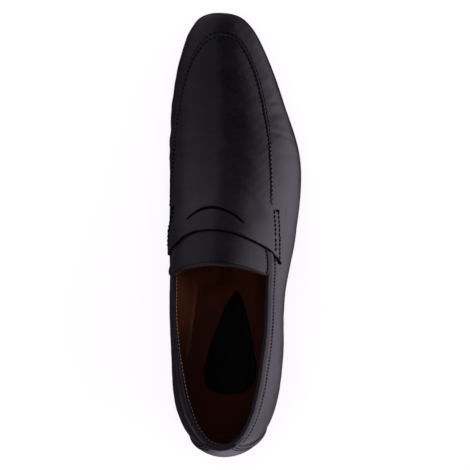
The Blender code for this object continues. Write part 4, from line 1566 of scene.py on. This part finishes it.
def buildFloor():
    # one square
    style = stageStyle
    half = style["floorHalf"]
    corners = [(-half, -half, 0), (half, -half, 0), (half, half, 0), (-half, half, 0)]
    sockets = {
        "Base Color": style["floorColour"], "Roughness": style["floorRoughness"],
        "Emission Color": style["white"], "Emission Strength": style["floorGlow"],
    }
    putStage("floor", corners, [(0, 1, 2, 3)], sockets, ["glossy"], style["floorDrop"])


def buildBackdrop():
    # upright cylinder around the floor
    style = stageStyle
    count = style["wallSides"]
    turn = np.linspace(0, 2 * np.pi, count, endpoint=False)
    ring = np.stack([np.cos(turn), np.sin(turn)], -1) * style["wallRadius"]
    points = np.concatenate([withHeight(ring, np.full(count, style[z])) for z in ("wallFoot", "wallHeight")])
    i = np.arange(count)
    ahead = (i + 1) % count
    faces = np.stack([ahead, i, count + i, count + ahead], -1)
    sockets = {
        "Base Color": style["black"],
        "Emission Color": style["white"], "Emission Strength": style["wallGlow"],
    }
    putStage("backdrop", points.tolist(), faces.tolist(), sockets, ["diffuse", "glossy", "shadow"])


# Edges are the two ends of a smooth step over the direction that the light comes from
lightStyle = {
    "tint": (1.0, 0.915, 1.11, 1.0),
    "base": (0.021, 0.078),  # everywhere, and added high in front
    "frontEdge": (0.46, 0.64),
    "aboveEdge": (-0.15, 0.10),
    "inner": 0.178,  # even sheet on the inner side, cut off sharply a little beside the top
    "innerEdge": (0.10, 0.24),
    "innerRise": (-0.25, 0.50),
    "innerUp": 0.8,
    "innerFar": 0.05,
    "innerFarEdge": (0.55, 0.95),
    "innerFarRise": (-0.1, 0.3),
    "outerLow": 1.12,  # bright ground beside the shoe
    "outerLowEdge": (0.10, 0.90),
    "outerHigh": 0.94,  # and the wall above it
    "outerHighEdge": (0.60, 0.95),
    "outerVeil": 0.45,
    "outerVeilEdge": (0.50, 0.80),
    "toeDim": 0.78,  # shares taken off towards the toe and low down
    "toeDimEdge": (0.29, 0.54),
    "lowDim": 0.46,
    "lowDimEdge": (0.25, 0.95),
    "rearLow": 0.62,  # bright ground behind the heel
    "rearLowEdge": (0.12, 0.75),
    "rearLowInner": (-0.50, -0.05),
    "rearLowOuter": (0.20, 0.60),
    "rear": 0.34,
    "rearWay": (0.0, -0.80, 0.60),
    "side": 0.36,
    "sideWay": (-0.80, -0.50, 0.33),
    "wayEdge": (0.80, 1.0),
    "aim": (0, 0, 0.03),
    "panels": (
        # name, place, size, watts; they don't mirror in the leather
        ("outerPanel", (1.1, -0.25, 0.75), (1.5, 1.1), 0.7),
        ("topPanel", (0.22, 0.25, 1.30), (1.0, 0.9), 2.2),
    ),
}


def buildLights():
    # what the leather mirrors: dim overhead, an even sheet inside, bright ground and wall outside
    style = lightStyle
    world = bpy.data.worlds.new("studio")
    bpy.context.scene.world = world
    world.use_nodes = True
    tree = world.node_tree
    way = Wire(tree).node("ShaderNodeTexCoord", output="Generated")
    x, y, z = (way.axis(name) for name in "XYZ")
    inwards, backwards, downwards = x * -1, y * -1, z * -1

    def edge(wire, name):
        return wire.smooth(*style[name])

    def towards(direction):
        return x * direction[0] + y * direction[1] + z * direction[2]

    above = edge(z, "aboveEdge")
    high = edge(y, "frontEdge")
    fall = 1 - edge(y, "toeDimEdge") * style["toeDim"]
    low = 1 - edge(downwards, "lowDimEdge") * style["lowDim"]
    ground = edge(x, "outerLowEdge") * fall * low * style["outerLow"]
    behind = edge(x, "rearLowInner") * (1 - edge(x, "rearLowOuter"))
    ground = ground + edge(backwards, "rearLowEdge") * behind * style["rearLow"]
    wall = edge(x, "outerHighEdge") * fall * style["outerHigh"]
    wall = wall + edge(x, "outerVeilEdge") * high * style["outerVeil"]
    sheet = edge(inwards, "innerEdge") * edge(y + z * style["innerUp"], "innerRise") * style["inner"]
    sheet = sheet + edge(inwards, "innerFarEdge") * edge(y, "innerFarRise") * style["innerFar"]
    rear = edge(towards(style["rearWay"]), "wayEdge") * style["rear"]
    side = edge(towards(style["sideWay"]), "wayEdge") * style["side"]
    even, front = style["base"]
    glow = even + high * front + ground * (1 - above) + wall * above + sheet + rear + side
    tree.links.new(glow.socket, tree.nodes["Background"].inputs["Strength"])
    tree.nodes["Background"].inputs["Color"].default_value = style["tint"]
    for name, place, panelSize, watts in style["panels"]:
        panel = bpy.data.lights.new(name, "AREA")
        panel.shape = "RECTANGLE"
        panel.size, panel.size_y = panelSize
        panel.energy = watts
        panel.color = style["tint"][:3]
        lamp = bpy.data.objects.new(name, panel)
        lamp.location = place
        lamp.rotation_mode = "QUATERNION"
        lamp.rotation_quaternion = (Vector(place) - Vector(style["aim"])).to_track_quat("Z", "Y")
        lamp.visible_glossy = False
        bpy.context.scene.collection.objects.link(lamp)


def buildCamera():
    # turned by lean, tilt and roll, and set back from the target along its own axis
    style = stageStyle
    camera = bpy.data.cameras.new("camera")
    camera.lens = style["lens"]
    eye = bpy.data.objects.new("camera", camera)
    lean, tilt, roll = (math.radians(style[name]) for name in ("lean", "tilt", "roll"))
    eye.rotation_euler = (-lean, tilt, roll)
    away = Vector((0, 0, style["distance"]))
    away.rotate(eye.rotation_euler)
    eye.location = Vector(style["target"]) + away
    camera.clip_start, camera.clip_end = style["clip"]
    bpy.context.scene.collection.objects.link(eye)
    bpy.context.scene.camera = eye
    bpy.context.scene.view_settings.view_transform = "Standard"


buildFloor()
buildBackdrop()
buildLights()
buildCamera()
print("stage ready")
